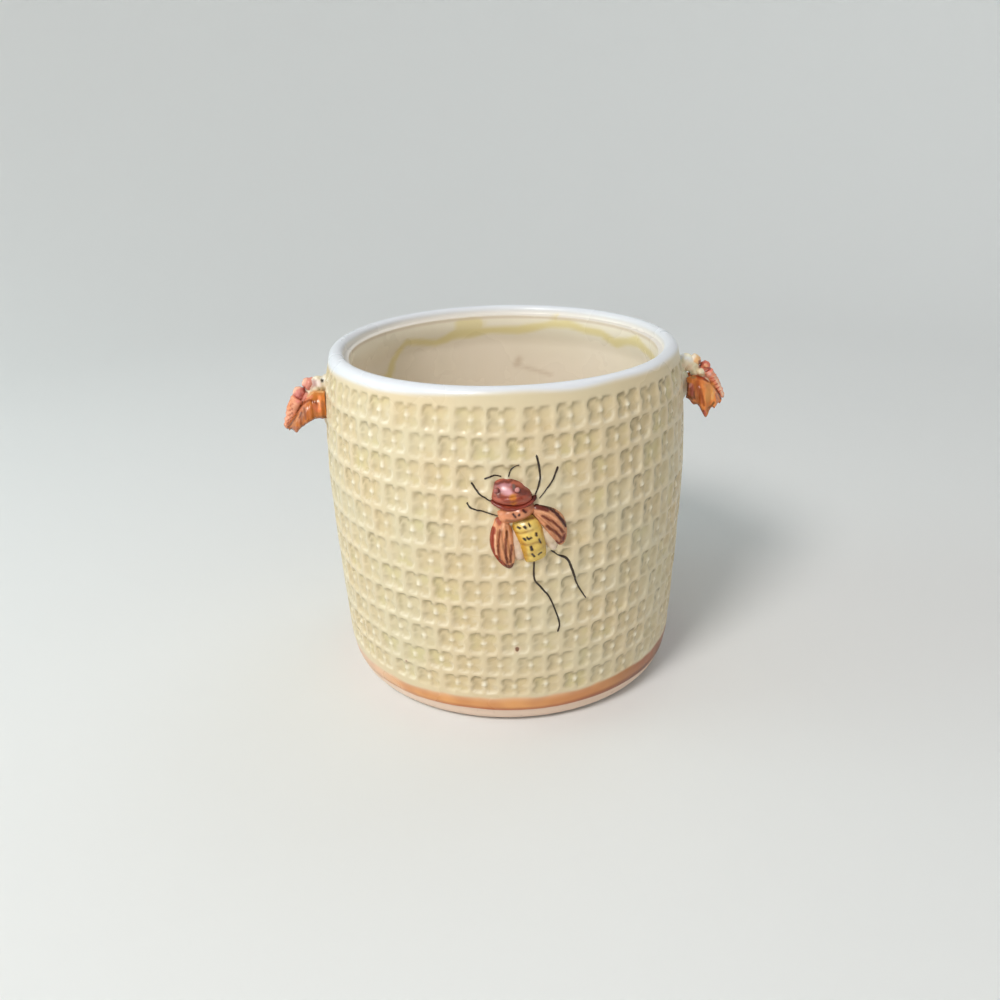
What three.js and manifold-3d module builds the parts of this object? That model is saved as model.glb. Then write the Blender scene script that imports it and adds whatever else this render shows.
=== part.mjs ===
// Honey pot: a round glazed earthenware pot with a pressed basket weave, a rolled lip, a seat for a lid, two
// ears modelled as perched winged insects, and a winged insect applied in relief on the front of the wall.
// Millimetres, +Z up. The origin is on the pot's axis, in the plane of its foot. The ears lie along X
// and the applied insect faces -Y.
import * as THREE from 'three';
import Module from 'manifold-3d';
import { mergeVertices } from 'three/addons/utils/BufferGeometryUtils.js';

const wasm = await Module();
wasm.setup();

// Driving dimensions of the pot. Drops are measured down from the rim, tapers and steps in from the belly
const potHeight = 95;
const bellyRadius = 51.5;
const bellyDrop = 33.5;
const shoulderDrop = 7.6;
const shoulderTaper = 1.5;
const wallFootHeight = 7.6;
const wallFootTaper = 2.3;
const footStep = 0.8;
const footEdgeRadius = 3;
const wallSwell = 1.5;
const wallThickness = 5.4;
const floorThickness = 6.5;
const floorFillet = 7;

// Driving dimensions of the lip and of the seat that a lid rests on
const lipInset = 4.1;
const lipOuterHalf = 2.8;
const lipInnerHalf = 1.7;
const lipRise = 2.4;
const seatDepth = 2.2;
const seatWidth = 1.8;
const seatSkirt = 2;
const neckBlend = 9;

// Driving dimensions of the weave: staggered rows of shallow pressed cells with narrow ridges between them.
// The rows share the height between them as these numbers do, from the bottom, and each leans a little
// along the wall from the one above it
const weaveBottom = 10;
const weaveTopDrop = 3.8;
const weaveRowShares = [6.3, 6.7, 7.3, 7.9, 7.8, 7.8, 7.8, 7.7, 7.7, 7, 7.2];
const cellsRound = 38;
const cellPhase = 3;
const rowLean = 0.17;
const cellDepth = 0.8;
const cellSlope = 1.1;

// Clearance between two pieces that touch on the real pot, and how far a cutting shape runs past a piece
const clearance = 0.3;
const cutReach = 5;

// Facets of the round forms: two to each cell of the weave
const potFacets = 2 * cellsRound;
const insideSteps = 2;
const arcSteps = 3;
const lipSteps = 3;

// Places worked out from the dimensions above
const bellyHeight = potHeight - bellyDrop;
const shoulderHeight = potHeight - shoulderDrop;
const shoulderRadius = bellyRadius - shoulderTaper;
const wallFootRadius = bellyRadius - wallFootTaper;
const footFlatRadius = wallFootRadius - footStep - footEdgeRadius;
const lipCrestRadius = shoulderRadius - lipInset;
const lipBase = potHeight - lipRise;
const lipBaseRadius = lipCrestRadius + lipOuterHalf;
const seatHeight = potHeight - seatDepth;
const seatOuterRadius = lipCrestRadius - lipInnerHalf;
const mouthRadius = seatOuterRadius - seatWidth;
const rowCount = weaveRowShares.length;
const rowEdges = rowHeights();

// The applied insect: its waist lies across from the front's middle and below the rim, and its parts
// are leaf-shaped domes whose places are millimetres across and up the wall from that waist
const insectAcross = -1;
const insectDrop = 31.5;
const leafEdge = 0.5;
const leafFullness = 0.7;
const leafEndRounding = 0.12;
const insectParts = {
  collar: { root: [-7.1, 4.6], tip: [3.4, 4.9], bow: -2, width: 1.5, rootWidth: 0.9, tipWidth: 1.2,
    widest: 0.5, height: 2.4 },
  head: { root: [-6.7, 7.7], tip: [2.4, 5.9], bow: 0.7, width: 5.8, rootWidth: 2.6, tipWidth: 1.6,
    widest: 0.45, height: 3 },
  thorax: { root: [-5.4, 0.7], tip: [2.9, 2.2], bow: -0.1, width: 3.9, rootWidth: 2.4, tipWidth: 2.2,
    widest: 0.45, height: 2.8 },
  left_wing_case: { root: [-5, -0.5], tip: [-3, -13.9], bow: -0.8, width: 6, rootWidth: 2.4, tipWidth: 1.3,
    widest: 0.5, height: 2.1 },
  right_wing_case: { root: [3.3, 2], tip: [10.1, -8.2], bow: 1.2, width: 4.7, rootWidth: 2.2, tipWidth: 1.6,
    widest: 0.55, height: 2.1 },
  abdomen: { root: [0.6, -0.9], tip: [2.5, -12], bow: 0.5, width: 6.6, rootWidth: 5, tipWidth: 2.4,
    widest: 0.25, height: 3 },
  left_underwing: { root: [-1.4, -4.6], tip: [-0.6, -12], bow: -0.2, width: 3, rootWidth: 1.6, tipWidth: 1.4,
    widest: 0.6, height: 1 },
  right_underwing: { root: [5.2, -4.6], tip: [8.7, -9.9], bow: 0.3, width: 3.2, rootWidth: 1.6, tipWidth: 1.4,
    widest: 0.6, height: 1 },
};
const eyeRadius = 0.75;
const eyeRise = 2.3;
const eyePlaces = { left: [-5.7, 8.4], right: [-0.9, 8.3] };
const leafStations = 9;
const leafRibs = 6;

// Legs and feelers: thin trails laid on the wall, root first
const trailRadius = 0.35;
const trailSides = 5;
const trailSteps = 11;
const feelers = {
  left: [[-4.6, 10.3], [-6.2, 10.6], [-7.4, 10.4], [-8.8, 9.9]],
  right: [[-2.9, 10.4], [-2.4, 11.7], [-1.6, 12.5], [-0.2, 13.3]],
};
const legs = {
  front_left: [[-6.6, 3.8], [-8.5, 4.8], [-10.5, 6.5], [-12.2, 8.7]],
  mid_left: [[-6, 0.4], [-8.5, 1.1], [-11, 1.9], [-12.5, 2.5], [-13.4, 3.5]],
  front_right: [[3.7, 5.8], [4.3, 7.5], [4.8, 10], [4.6, 12.5], [4, 15.5]],
  mid_right: [[4.8, 5], [6.2, 6.5], [7.5, 8], [8.4, 10], [9.3, 12.2]],
  hind_left: [[3.1, -12.7], [3.1, -17.5], [5, -20.5], [7, -23.3], [9, -28.5], [9.8, -31.5], [9.3, -34.2]],
  hind_right: [[7.5, -10], [9.5, -11.7], [11.9, -13.3], [13.6, -18], [14.8, -21.2], [17.3, -25.7]],
};

// The ears: places are millimetres out, across and up from where the lug meets the wall. Each was modelled by
// hand, so the two differ. A wing hangs from its root line, and its other lists say, from the wall outwards,
// how far its hem lies to the side of that line, below it, and further out
const ears = {
  left: {
    drop: 10.6,
    lugSpine: [[-2.5, 0, 0.5], [0, 0, 0.5], [2.2, 0, 0.3], [4.3, 0, -1.9], [6.4, 0, -4.6], [8.4, 0, -8]],
    lugRadii: [2.3, 2.3, 2.1, 1.5, 1.1, 0.8],
    head: { at: [4.3, 0, 0.4], radius: 1.95 },
    back: { at: [7.3, 0, -2], radius: 1.75 },
    bodySpine: [[7.7, 0, -3.6], [9.4, 0, -6.6], [10.8, 0, -9.5], [12, 0, -12.3]],
    bodyRadii: [1.4, 1.3, 1.1, 0.6],
    wingRoot: [[0.8, -1.3], [3.2, -1.4], [5.6, -3.5], [8.2, -7.2], [10.9, -11.2]],
    wingSpread: [4.4, 5.2, 5.2, 4.2, 2],
    wingDrop: [6, 5.9, 5.4, 4.3, 1],
    wingSlide: [-0.2, 0, 0.4, 0, 0.3],
    padHeight: 1.1,
  },
  right: {
    drop: 9.1,
    lugSpine: [[-2.5, 0, -0.3], [0, 0, -0.3], [2.8, 0, -0.3], [5.3, 0, -2.1], [7.9, 0, -4.8], [10.3, 0, -8]],
    lugRadii: [2.6, 2.6, 2.3, 1.7, 1.2, 0.8],
    head: { at: [5.2, 0, 0.4], radius: 1.6 },
    back: { at: [8.4, 0, -1.5], radius: 1.6 },
    bodySpine: [[9.1, 0, -3], [11.1, 0, -5.8], [12.8, 0, -8.6], [14.3, 0, -11.3]],
    bodyRadii: [1.4, 1.3, 1.1, 0.6],
    wingRoot: [[2.6, -4.4], [4.6, -3.7], [7.6, -4.5], [10.6, -7.2], [13.3, -10.7]],
    wingSpread: [4.2, 5.4, 5.6, 4.4, 1.8],
    wingDrop: [4.1, 6.6, 9.6, 4.5, 0.8],
    wingSlide: [-0.8, 0.2, -0.2, -0.7, -0.6],
    padHeight: 1.6,
  },
};
const lugSides = 8;
const lugSteps = 9;
const ballFacets = 12;
const bodySegments = 6;
const segmentDepth = 0.2;
const segmentSteps = 2;
const bodySides = 10;
const wingStart = 1.5;
const wingThickness = 1;
const wingFolds = 3;
const foldDepth = 0.45;
const wingColumns = 14;
const wingRows = 5;
const rootPad = { root: [0, -2.3], tip: [0, -11.5], bow: 0, width: 3.4, rootWidth: 2.4, tipWidth: 1.4,
  widest: 0.3 };

// Where clay was luted on, the weave under and beside it was smoothed away
const smoothedPatches = [
  { across: insectAcross + 1, up: potHeight - insectDrop - 1, halfWidth: 8.5, halfHeight: 12 },
  { across: (-Math.PI / 2) * bellyRadius, up: potHeight - ears.left.drop - 3, halfWidth: 4.5, halfHeight: 8 },
  { across: (Math.PI / 2) * bellyRadius, up: potHeight - ears.right.drop - 3, halfWidth: 4.5, halfHeight: 8 },
];

// Finishes
const finish = (color, roughness) => new THREE.MeshStandardMaterial({ color, roughness, metalness: 0 });
const creamGlaze = finish(0xe2d0a4, 0.25);
const maroonGlaze = finish(0x96463a, 0.25);
const orangeGlaze = finish(0xc87d55, 0.3);
const rustGlaze = finish(0xb8602a, 0.3);
const yellowGlaze = finish(0xdcb950, 0.3);
const blushGlaze = finish(0xe1c8af, 0.3);
const roseGlaze = finish(0xd78c82, 0.3);
const darkGlaze = finish(0x2d1c0f, 0.35);

const honeyPot = new THREE.Group();
honeyPot.name = 'honey_pot';

// Solids

/** Geometry from corner positions and triangles, turned over if it faces inwards. */
function facingOut(corners, triangles) {
  let volume = 0;
  const [a, b, c] = [new THREE.Vector3(), new THREE.Vector3(), new THREE.Vector3()];
  for (let i = 0; i < triangles.length; i += 3) {
    a.fromArray(corners, 3 * triangles[i]);
    b.fromArray(corners, 3 * triangles[i + 1]);
    c.fromArray(corners, 3 * triangles[i + 2]);
    volume += a.dot(b.cross(c));
  }
  const geometry = new THREE.BufferGeometry();
  geometry.setAttribute('position', new THREE.Float32BufferAttribute(corners, 3));
  geometry.setIndex(volume < 0 ? [...triangles].reverse() : [...triangles]);
  return geometry;
}

/** A three.js geometry with its shared corners merged and its flat triangles left out. */
function welded(source) {
  const bare = source.clone();
  bare.deleteAttribute('normal');
  bare.deleteAttribute('uv');
  const merged = mergeVertices(bare, 1e-4);
  const index = merged.index.array;
  const kept = [];
  for (let i = 0; i < index.length; i += 3) {
    const [a, b, c] = [index[i], index[i + 1], index[i + 2]];
    if (a !== b && b !== c && c !== a) kept.push(a, b, c);
  }
  return facingOut(merged.attributes.position.array, kept);
}

function toSolid(source) {
  const geometry = welded(source);
  const vertProperties = new Float32Array(geometry.attributes.position.array);
  const triVerts = new Uint32Array(geometry.index.array);
  return new wasm.Manifold(new wasm.Mesh({ numProp: 3, vertProperties, triVerts }));
}

function toGeometry(solid) {
  const mesh = solid.getMesh();
  const geometry = new THREE.BufferGeometry();
  geometry.setAttribute('position', new THREE.BufferAttribute(new Float32Array(mesh.vertProperties), 3));
  geometry.setIndex(new THREE.BufferAttribute(new Uint32Array(mesh.triVerts), 1));
  return geometry;
}

/** The solid without what its neighbours, each grown by the clearance, take up. */
function clearOf(solid, cutters) {
  return cutters.reduce((rest, cutter) => rest.subtract(cutter), solid);
}

function addPiece(name, geometry, material) {
  const mesh = new THREE.Mesh(geometry, material);
  mesh.name = name;
  honeyPot.add(mesh);
}

/** A closed solid between two grids of points that share their rim. */
function gridSolid(columns, rows, outerAt, innerAt) {
  const corners = [];
  const across = rows + 1;
  for (const at of [outerAt, innerAt]) {
    for (let i = 0; i <= columns; i++) {
      for (let j = 0; j <= rows; j++) corners.push(...at(i / columns, j / rows));
    }
  }
  const inner = (columns + 1) * across;
  const triangles = [];
  const quad = (a, b, c, d) => triangles.push(a, b, c, a, c, d);
  for (let i = 0; i < columns; i++) {
    for (let j = 0; j < rows; j++) {
      const k = i * across + j;
      quad(k, k + across, k + across + 1, k + 1);
      quad(inner + k, inner + k + 1, inner + k + across + 1, inner + k + across);
    }
    const first = i * across;
    const last = first + rows;
    quad(first, inner + first, inner + first + across, first + across);
    quad(last, last + across, inner + last + across, inner + last);
  }
  for (let j = 0; j < rows; j++) {
    const far = columns * across + j;
    quad(j, j + 1, inner + j + 1, inner + j);
    quad(far, inner + far, inner + far + 1, far + 1);
  }
  return facingOut(corners, triangles);
}

/** A round bar along a spine, with a radius at each step and closed ends. */
function roundBar(spine, radiusAt, steps, sides) {
  const curve = new THREE.CatmullRomCurve3(spine.map((p) => new THREE.Vector3(...p)));
  const side = new THREE.Vector3(0, 1, 0);
  const corners = [...curve.getPoint(0).toArray()];
  for (let i = 0; i <= steps; i++) {
    const t = i / steps;
    const centre = curve.getPoint(t);
    const upright = curve.getTangent(t).cross(side).normalize();
    for (let j = 0; j < sides; j++) {
      const turn = (2 * Math.PI * j) / sides;
      const radius = radiusAt(t);
      corners.push(...centre.clone().addScaledVector(side, radius * Math.cos(turn))
        .addScaledVector(upright, radius * Math.sin(turn)).toArray());
    }
  }
  corners.push(...curve.getPoint(1).toArray());
  const triangles = [];
  const endCorner = corners.length / 3 - 1;
  for (let j = 0; j < sides; j++) {
    const next = (j + 1) % sides;
    triangles.push(0, 1 + next, 1 + j);
    triangles.push(endCorner, 1 + steps * sides + j, 1 + steps * sides + next);
    for (let i = 0; i < steps; i++) {
      const k = 1 + i * sides;
      triangles.push(k + j, k + next, k + sides + next, k + j, k + sides + next, k + sides + j);
    }
  }
  return facingOut(corners, triangles);
}

/** A value read off a list at evenly spaced stations, with a smooth run between them. */
function smoothAt(list, t) {
  const place = t * (list.length - 1);
  const i = Math.min(Math.floor(place), list.length - 2);
  const f = place - i;
  return list[i] + (list[i + 1] - list[i]) * f * f * (3 - 2 * f);
}

// The pot

/** Heights of the ridges between the weave's rows, from the bottom. */
function rowHeights() {
  const whole = weaveRowShares.reduce((sum, share) => sum + share, 0);
  const span = potHeight - weaveTopDrop - weaveBottom;
  let height = weaveBottom;
  return [weaveBottom, ...weaveRowShares.map((share) => (height += (span * share) / whole))];
}

/** Outside radius over the ridges: swells to the belly from foot and shoulder, then leans in to the lip. */
function wallRadiusAt(height) {
  if (height > shoulderHeight) {
    const share = (height - shoulderHeight) / (lipBase - shoulderHeight);
    return shoulderRadius + (lipBaseRadius - shoulderRadius) * share;
  }
  const below = height < bellyHeight;
  const span = below ? bellyHeight - wallFootHeight : shoulderHeight - bellyHeight;
  const drop = bellyRadius - (below ? wallFootRadius : shoulderRadius);
  return bellyRadius - drop * (Math.abs(height - bellyHeight) / span) ** wallSwell;
}

/** A point at an angle round the pot, measured from its front towards +X. */
const roundPot = (turn, radius, height) => [radius * Math.sin(turn), -radius * Math.cos(turn), height];

function quarterArc(centre, radii, start, end, steps) {
  const points = [];
  for (let i = 0; i <= steps; i++) {
    const turn = start + ((end - start) * i) / steps;
    points.push([centre[0] + radii[0] * Math.cos(turn), centre[1] + radii[1] * Math.sin(turn)]);
  }
  return points;
}

/** Outside of the pot from the foot's edge up the ridges to the lip's crest. */
function outsideProfile(grow) {
  const foot = quarterArc([footFlatRadius, footEdgeRadius], [footEdgeRadius + grow, footEdgeRadius + grow],
    -Math.PI / 2, 0, arcSteps);
  const wall = [wallFootHeight, ...rowEdges].map((height) => [wallRadiusAt(height) + grow, height]);
  const lip = quarterArc([lipCrestRadius, lipBase], [lipOuterHalf + grow, lipRise + grow],
    0, Math.PI / 2, lipSteps);
  return [...foot, ...wall, ...lip];
}

/** Inside of the pot from the lip's crest down past the seat to the floor's edge. */
function insideProfile() {
  const lipDrop = seatDepth / 2;
  const lip = quarterArc([lipCrestRadius, potHeight - lipDrop], [lipInnerHalf, lipDrop], Math.PI / 2, Math.PI,
    lipSteps).slice(1);
  const skirtEnd = seatHeight - seatSkirt;
  const seat = [[seatOuterRadius, seatHeight], [mouthRadius, seatHeight], [mouthRadius, skirtEnd]];
  const top = skirtEnd - neckBlend;
  const bottom = floorThickness + floorFillet;
  const wall = [];
  for (let i = 0; i <= insideSteps; i++) {
    const height = top + ((bottom - top) * i) / insideSteps;
    wall.push([wallRadiusAt(height) - wallThickness, height]);
  }
  const corner = wallRadiusAt(bottom) - wallThickness - floorFillet;
  const fillet = quarterArc([corner, bottom], [floorFillet, floorFillet], 0, -Math.PI / 2, arcSteps).slice(1);
  return [...lip, ...seat, ...wall, ...fillet];
}

/** Angle of the first facet corner on a ridge or, between them, in a row, counted from the weave's bottom. */
const weaveTurn = (rowsUp) => (cellPhase + rowLean * (rowCount - 0.5 - rowsUp)) / bellyRadius;
const halfCellTurn = Math.PI / cellsRound;

/** Whether the weave was smoothed away at an angle round the pot and a height. */
function isSmoothed(turn, height) {
  const wrapped = Math.atan2(Math.sin(turn), Math.cos(turn));
  return smoothedPatches.some(({ across, up, halfWidth, halfHeight }) =>
    Math.hypot((wrapped * bellyRadius - across) / halfWidth, (height - up) / halfHeight) < 1);
}

/** The pot in one shell: rings of corners up the outside and down the inside, and the cells pressed in it. */
function potBody() {
  const profile = [...outsideProfile(0), ...insideProfile()];
  const ringsUnderWeave = arcSteps + 2;
  const corners = [0, 0, 0];
  const triangles = [];
  const quad = (a, b, c, d) => triangles.push(a, b, c, a, c, d);
  const cornerAt = (ring, j) => 1 + ring * potFacets + ((j + potFacets) % potFacets);
  const addCorner = (...place) => corners.push(...place) / 3 - 1;
  profile.forEach(([radius, height], ring) => {
    const start = weaveTurn(Math.min(Math.max(ring - ringsUnderWeave, 0), rowCount));
    for (let j = 0; j < potFacets; j++) addCorner(...roundPot(start + j * halfCellTurn, radius, height));
  });

  const pressCell = (row, mid) => {
    const [low, high] = [rowEdges[row], rowEdges[row + 1]];
    const turn = weaveTurn(row + 0.5) + mid * halfCellTurn;
    const under = [-1, 0, 1].map((step) => cornerAt(ringsUnderWeave + row, mid + step));
    const over = [-1, 0, 1].map((step) => cornerAt(ringsUnderWeave + row + 1, mid + step));
    if (isSmoothed(turn, (low + high) / 2)) {
      quad(under[0], under[1], over[1], over[0]);
      quad(under[1], under[2], over[2], over[1]);
      return;
    }
    const reach = halfCellTurn - cellSlope / bellyRadius;
    const floorCorner = (side, height) =>
      addCorner(...roundPot(turn + side * reach, wallRadiusAt(height) - cellDepth, height));
    const lowFloor = [-1, 1].map((side) => floorCorner(side, low + cellSlope));
    const highFloor = [-1, 1].map((side) => floorCorner(side, high - cellSlope));
    quad(lowFloor[0], lowFloor[1], highFloor[1], highFloor[0]);
    quad(under[0], lowFloor[0], highFloor[0], over[0]);
    quad(lowFloor[1], under[2], over[2], highFloor[1]);
    quad(under[1], under[2], lowFloor[1], lowFloor[0]);
    triangles.push(under[0], under[1], lowFloor[0]);
    quad(highFloor[0], highFloor[1], over[2], over[1]);
    triangles.push(over[0], highFloor[0], over[1]);
  };

  for (let ring = 0; ring < profile.length - 1; ring++) {
    const row = ring - ringsUnderWeave;
    if (row >= 0 && row < rowCount) {
      const stagger = (rowCount - 1 - row) % 2;
      for (let cell = 0; cell < cellsRound; cell++) pressCell(row, 2 * cell + stagger);
    } else {
      for (let j = 0; j < potFacets; j++) {
        quad(cornerAt(ring, j), cornerAt(ring, j + 1), cornerAt(ring + 1, j + 1), cornerAt(ring + 1, j));
      }
    }
  }
  const floorMiddle = addCorner(0, 0, floorThickness);
  for (let j = 0; j < potFacets; j++) {
    triangles.push(0, cornerAt(0, j + 1), cornerAt(0, j));
    triangles.push(floorMiddle, cornerAt(profile.length - 1, j), cornerAt(profile.length - 1, j + 1));
  }
  return facingOut(corners, triangles);
}

/** The pot filled solid and grown by the clearance, to cut back what is luted onto the wall. */
function potCutter() {
  const profile = [[0, -clearance], ...outsideProfile(clearance), [0, potHeight + clearance]];
  const points = profile.map(([radius, height]) => new THREE.Vector2(radius, height));
  return toSolid(new THREE.LatheGeometry(points, potFacets).rotateX(Math.PI / 2).rotateZ(weaveTurn(rowCount)));
}

// The applied insect

/** A point on the wall from places across and up it, raised off its surface. */
function onWall(across, up, rise) {
  return roundPot(across / bellyRadius, wallRadiusAt(up) + rise, up);
}

const onInsect = ([across, up], rise) =>
  onWall(insectAcross + across, potHeight - insectDrop + up, rise);

/** Place on a leaf-shaped plan: t runs root to tip, q from one edge to the other. */
function leafPoint(leaf, t, q, grow) {
  const root = new THREE.Vector2(...leaf.root);
  const tip = new THREE.Vector2(...leaf.tip);
  const run = tip.clone().sub(root);
  const length = run.length();
  const along = run.divideScalar(length);
  const sideways = new THREE.Vector2(-along.y, along.x);
  const toWidest = t < leaf.widest ? t / leaf.widest : (1 - t) / (1 - leaf.widest);
  const endWidth = t < leaf.widest ? leaf.rootWidth : leaf.tipWidth;
  const width = endWidth + (leaf.width - endWidth) * Math.sin((toWidest * Math.PI) / 2) ** leafFullness;
  const bow = leaf.bow * Math.sin(t * Math.PI);
  const place = root.addScaledVector(along, -grow + t * (length + 2 * grow));
  return place.addScaledVector(sideways, bow + q * (width / 2 + grow)).toArray();
}

/** A domed leaf on the wall, held off it by the clearance; at places its points on the pot. */
function leafDome(leaf, at) {
  const rise = (t, q) => {
    const lengthwise = Math.sin(Math.PI * (leafEndRounding + (1 - 2 * leafEndRounding) * t));
    const dome = Math.sqrt(Math.max(0, 1 - q * q) * lengthwise);
    return clearance + leafEdge + (leaf.height - leafEdge) * dome;
  };
  const ribAt = (v) => Math.sin((v - 0.5) * Math.PI);
  return gridSolid(leafStations, leafRibs,
    (t, v) => at(leafPoint(leaf, t, ribAt(v), 0), rise(t, ribAt(v))),
    (t, v) => at(leafPoint(leaf, t, ribAt(v), 0), clearance));
}

/** The upright space over a leaf's plan, grown by the clearance. */
function leafCutter(leaf) {
  return toSolid(gridSolid(leafStations, 2,
    (t, v) => onInsect(leafPoint(leaf, t, 2 * v - 1, clearance), leaf.height + cutReach),
    (t, v) => onInsect(leafPoint(leaf, t, 2 * v - 1, clearance), -clearance)));
}

function ball(centre, radius) {
  return new THREE.SphereGeometry(radius, ballFacets, ballFacets / 2).translate(...centre);
}

const insectFinishes = {
  collar: maroonGlaze, head: maroonGlaze, thorax: orangeGlaze, left_wing_case: orangeGlaze,
  right_wing_case: orangeGlaze, abdomen: yellowGlaze, left_underwing: blushGlaze, right_underwing: blushGlaze,
};

function addInsect() {
  const cutters = [];
  for (const [side, place] of Object.entries(eyePlaces)) {
    const centre = onInsect(place, eyeRise);
    addPiece(`insect_${side}_eye`, welded(ball(centre, eyeRadius)), darkGlaze);
    cutters.push(toSolid(ball(centre, eyeRadius + clearance)));
  }
  for (const [name, leaf] of Object.entries(insectParts)) {
    const part = clearOf(toSolid(leafDome(leaf, onInsect)), cutters);
    addPiece(`insect_${name}`, toGeometry(part), insectFinishes[name]);
    cutters.push(leafCutter(leaf));
  }
  for (const [side, route] of Object.entries(feelers)) {
    addPiece(`insect_${side}_feeler`, toGeometry(clearOf(trail(route), cutters)), darkGlaze);
  }
  for (const [place, route] of Object.entries(legs)) {
    addPiece(`insect_${place}_leg`, toGeometry(clearOf(trail(route), cutters)), darkGlaze);
  }
}

/** A thin round trail of slip that follows the wall. */
function trail(route) {
  const rise = clearance + trailRadius;
  const path = new THREE.CatmullRomCurve3(route.map((place) => new THREE.Vector3(...onInsect(place, rise))));
  const section = new THREE.Shape();
  for (let i = 0; i < trailSides; i++) {
    const turn = (2 * Math.PI * i) / trailSides;
    const [x, y] = [trailRadius * Math.cos(turn), trailRadius * Math.sin(turn)];
    if (i === 0) section.moveTo(x, y);
    else section.lineTo(x, y);
  }
  section.closePath();
  const run = { steps: trailSteps, extrudePath: path, bevelEnabled: false };
  return toSolid(new THREE.ExtrudeGeometry(section, run));
}

// The ears

const towardsEar = (side) => (side === 'left' ? -1 : 1);

/** Turns ear places, given out, across and up from the lug's root, into points of the pot. */
function earFrame(side) {
  const height = potHeight - ears[side].drop;
  const rootRadius = wallRadiusAt(height);
  return ([out, across, up]) => [towardsEar(side) * (rootRadius + out), across, height + up];
}

/** One wing: a folded sheet that hangs from the insect's side like half a roof. */
function wing(ear, place, sideways) {
  const root = new THREE.SplineCurve(ear.wingRoot.map((p) => new THREE.Vector2(...p)));
  const surface = (t, v, inset) => {
    const start = root.getPoint(t);
    const turn = (v * Math.PI) / 2;
    const spread = smoothAt(ear.wingSpread, t) - inset;
    const drop = smoothAt(ear.wingDrop, t) - (v < 1 ? inset : 0);
    const fold = foldDepth * Math.sin(2 * Math.PI * wingFolds * t) * v;
    const across = wingStart + (spread + fold) * Math.sin(turn);
    const up = start.y - inset - drop * (1 - Math.cos(turn)) + fold * (1 - v);
    return place([start.x + smoothAt(ear.wingSlide, t) * v, sideways * across, up]);
  };
  return gridSolid(wingColumns, wingRows, (t, v) => surface(t, v, 0), (t, v) => surface(t, v, wingThickness));
}

/** Places the strip of clay that runs down the wall under an ear's lug. */
function underEar(side) {
  const lugHeight = potHeight - ears[side].drop;
  return ([across, up], rise) => {
    const radius = wallRadiusAt(lugHeight + up) + rise;
    return roundPot(towardsEar(side) * (Math.PI / 2) + across / radius, radius, lugHeight + up);
  };
}

function addEar(side, wallCutter) {
  const ear = ears[side];
  const place = earFrame(side);
  const bar = (spine, radiusAt, steps, sides, grow) =>
    roundBar(spine.map(place), (t) => radiusAt(t) + grow, steps, sides);
  const round = (at, radius) => ball(place(at), radius);
  const lug = (grow) => bar(ear.lugSpine, (t) => smoothAt(ear.lugRadii, t), lugSteps, lugSides, grow);
  const groove = (t) => segmentDepth * Math.abs(Math.cos(Math.PI * bodySegments * t));
  const ringed = (t) => smoothAt(ear.bodyRadii, t) - groove(t);
  const body = (grow) => bar(ear.bodySpine, ringed, bodySegments * segmentSteps, bodySides, grow);
  const pad = { ...rootPad, height: ear.padHeight };

  const headCut = toSolid(round(ear.head.at, ear.head.radius + clearance));
  const backCut = toSolid(round(ear.back.at, ear.back.radius + clearance));
  const bodyCut = toSolid(body(clearance));
  const lugCut = toSolid(lug(clearance));
  const onLug = [wallCutter, headCut, backCut, bodyCut];
  addPiece(`ear_${side}_head`, welded(round(ear.head.at, ear.head.radius)), roseGlaze);
  addPiece(`ear_${side}_thorax`, toGeometry(clearOf(toSolid(round(ear.back.at, ear.back.radius)), [headCut])),
    roseGlaze);
  addPiece(`ear_${side}_abdomen`, toGeometry(clearOf(toSolid(body(0)), [backCut])), roseGlaze);
  addPiece(`ear_${side}_lug`, toGeometry(clearOf(toSolid(lug(0)), onLug)), creamGlaze);
  const strip = toSolid(leafDome(pad, underEar(side)));
  addPiece(`ear_${side}_root_pad`, toGeometry(clearOf(strip, [lugCut])), creamGlaze);
  const onStrip = (place2d, rise) => underEar(side)(place2d, rise + clearance);
  const wingCutters = [...onLug, lugCut, toSolid(leafDome(pad, onStrip))];
  for (const [name, sideways] of [['near', -1], ['far', 1]]) {
    const sheet = clearOf(toSolid(wing(ear, place, sideways)), wingCutters);
    addPiece(`ear_${side}_${name}_wing`, toGeometry(sheet), rustGlaze);
  }
}

addPiece('pot_body', potBody(), creamGlaze);
addInsect();
const wallCutter = potCutter();
for (const side of Object.keys(ears)) addEar(side, wallCutter);

export default honeyPot;
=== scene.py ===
"""The looks of the honey pot: glazed pressed weave, white lip, painted insects and unglazed foot."""

import math

import bpy
import numpy as np
from mathutils import Matrix, Vector


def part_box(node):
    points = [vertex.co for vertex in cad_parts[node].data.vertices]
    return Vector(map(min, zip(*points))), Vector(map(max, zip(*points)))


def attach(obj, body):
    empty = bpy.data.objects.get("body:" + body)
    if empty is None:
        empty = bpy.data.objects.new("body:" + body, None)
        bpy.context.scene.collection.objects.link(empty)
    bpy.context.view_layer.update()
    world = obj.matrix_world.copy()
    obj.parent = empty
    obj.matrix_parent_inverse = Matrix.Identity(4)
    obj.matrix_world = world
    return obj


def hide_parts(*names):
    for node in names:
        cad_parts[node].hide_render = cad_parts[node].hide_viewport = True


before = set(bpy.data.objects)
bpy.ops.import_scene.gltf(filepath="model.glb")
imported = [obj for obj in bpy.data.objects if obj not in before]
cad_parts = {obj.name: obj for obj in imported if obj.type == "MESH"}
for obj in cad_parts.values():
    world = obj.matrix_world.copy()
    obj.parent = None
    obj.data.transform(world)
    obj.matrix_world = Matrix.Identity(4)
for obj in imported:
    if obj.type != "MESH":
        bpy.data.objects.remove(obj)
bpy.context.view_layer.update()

MM = 0.001

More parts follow.
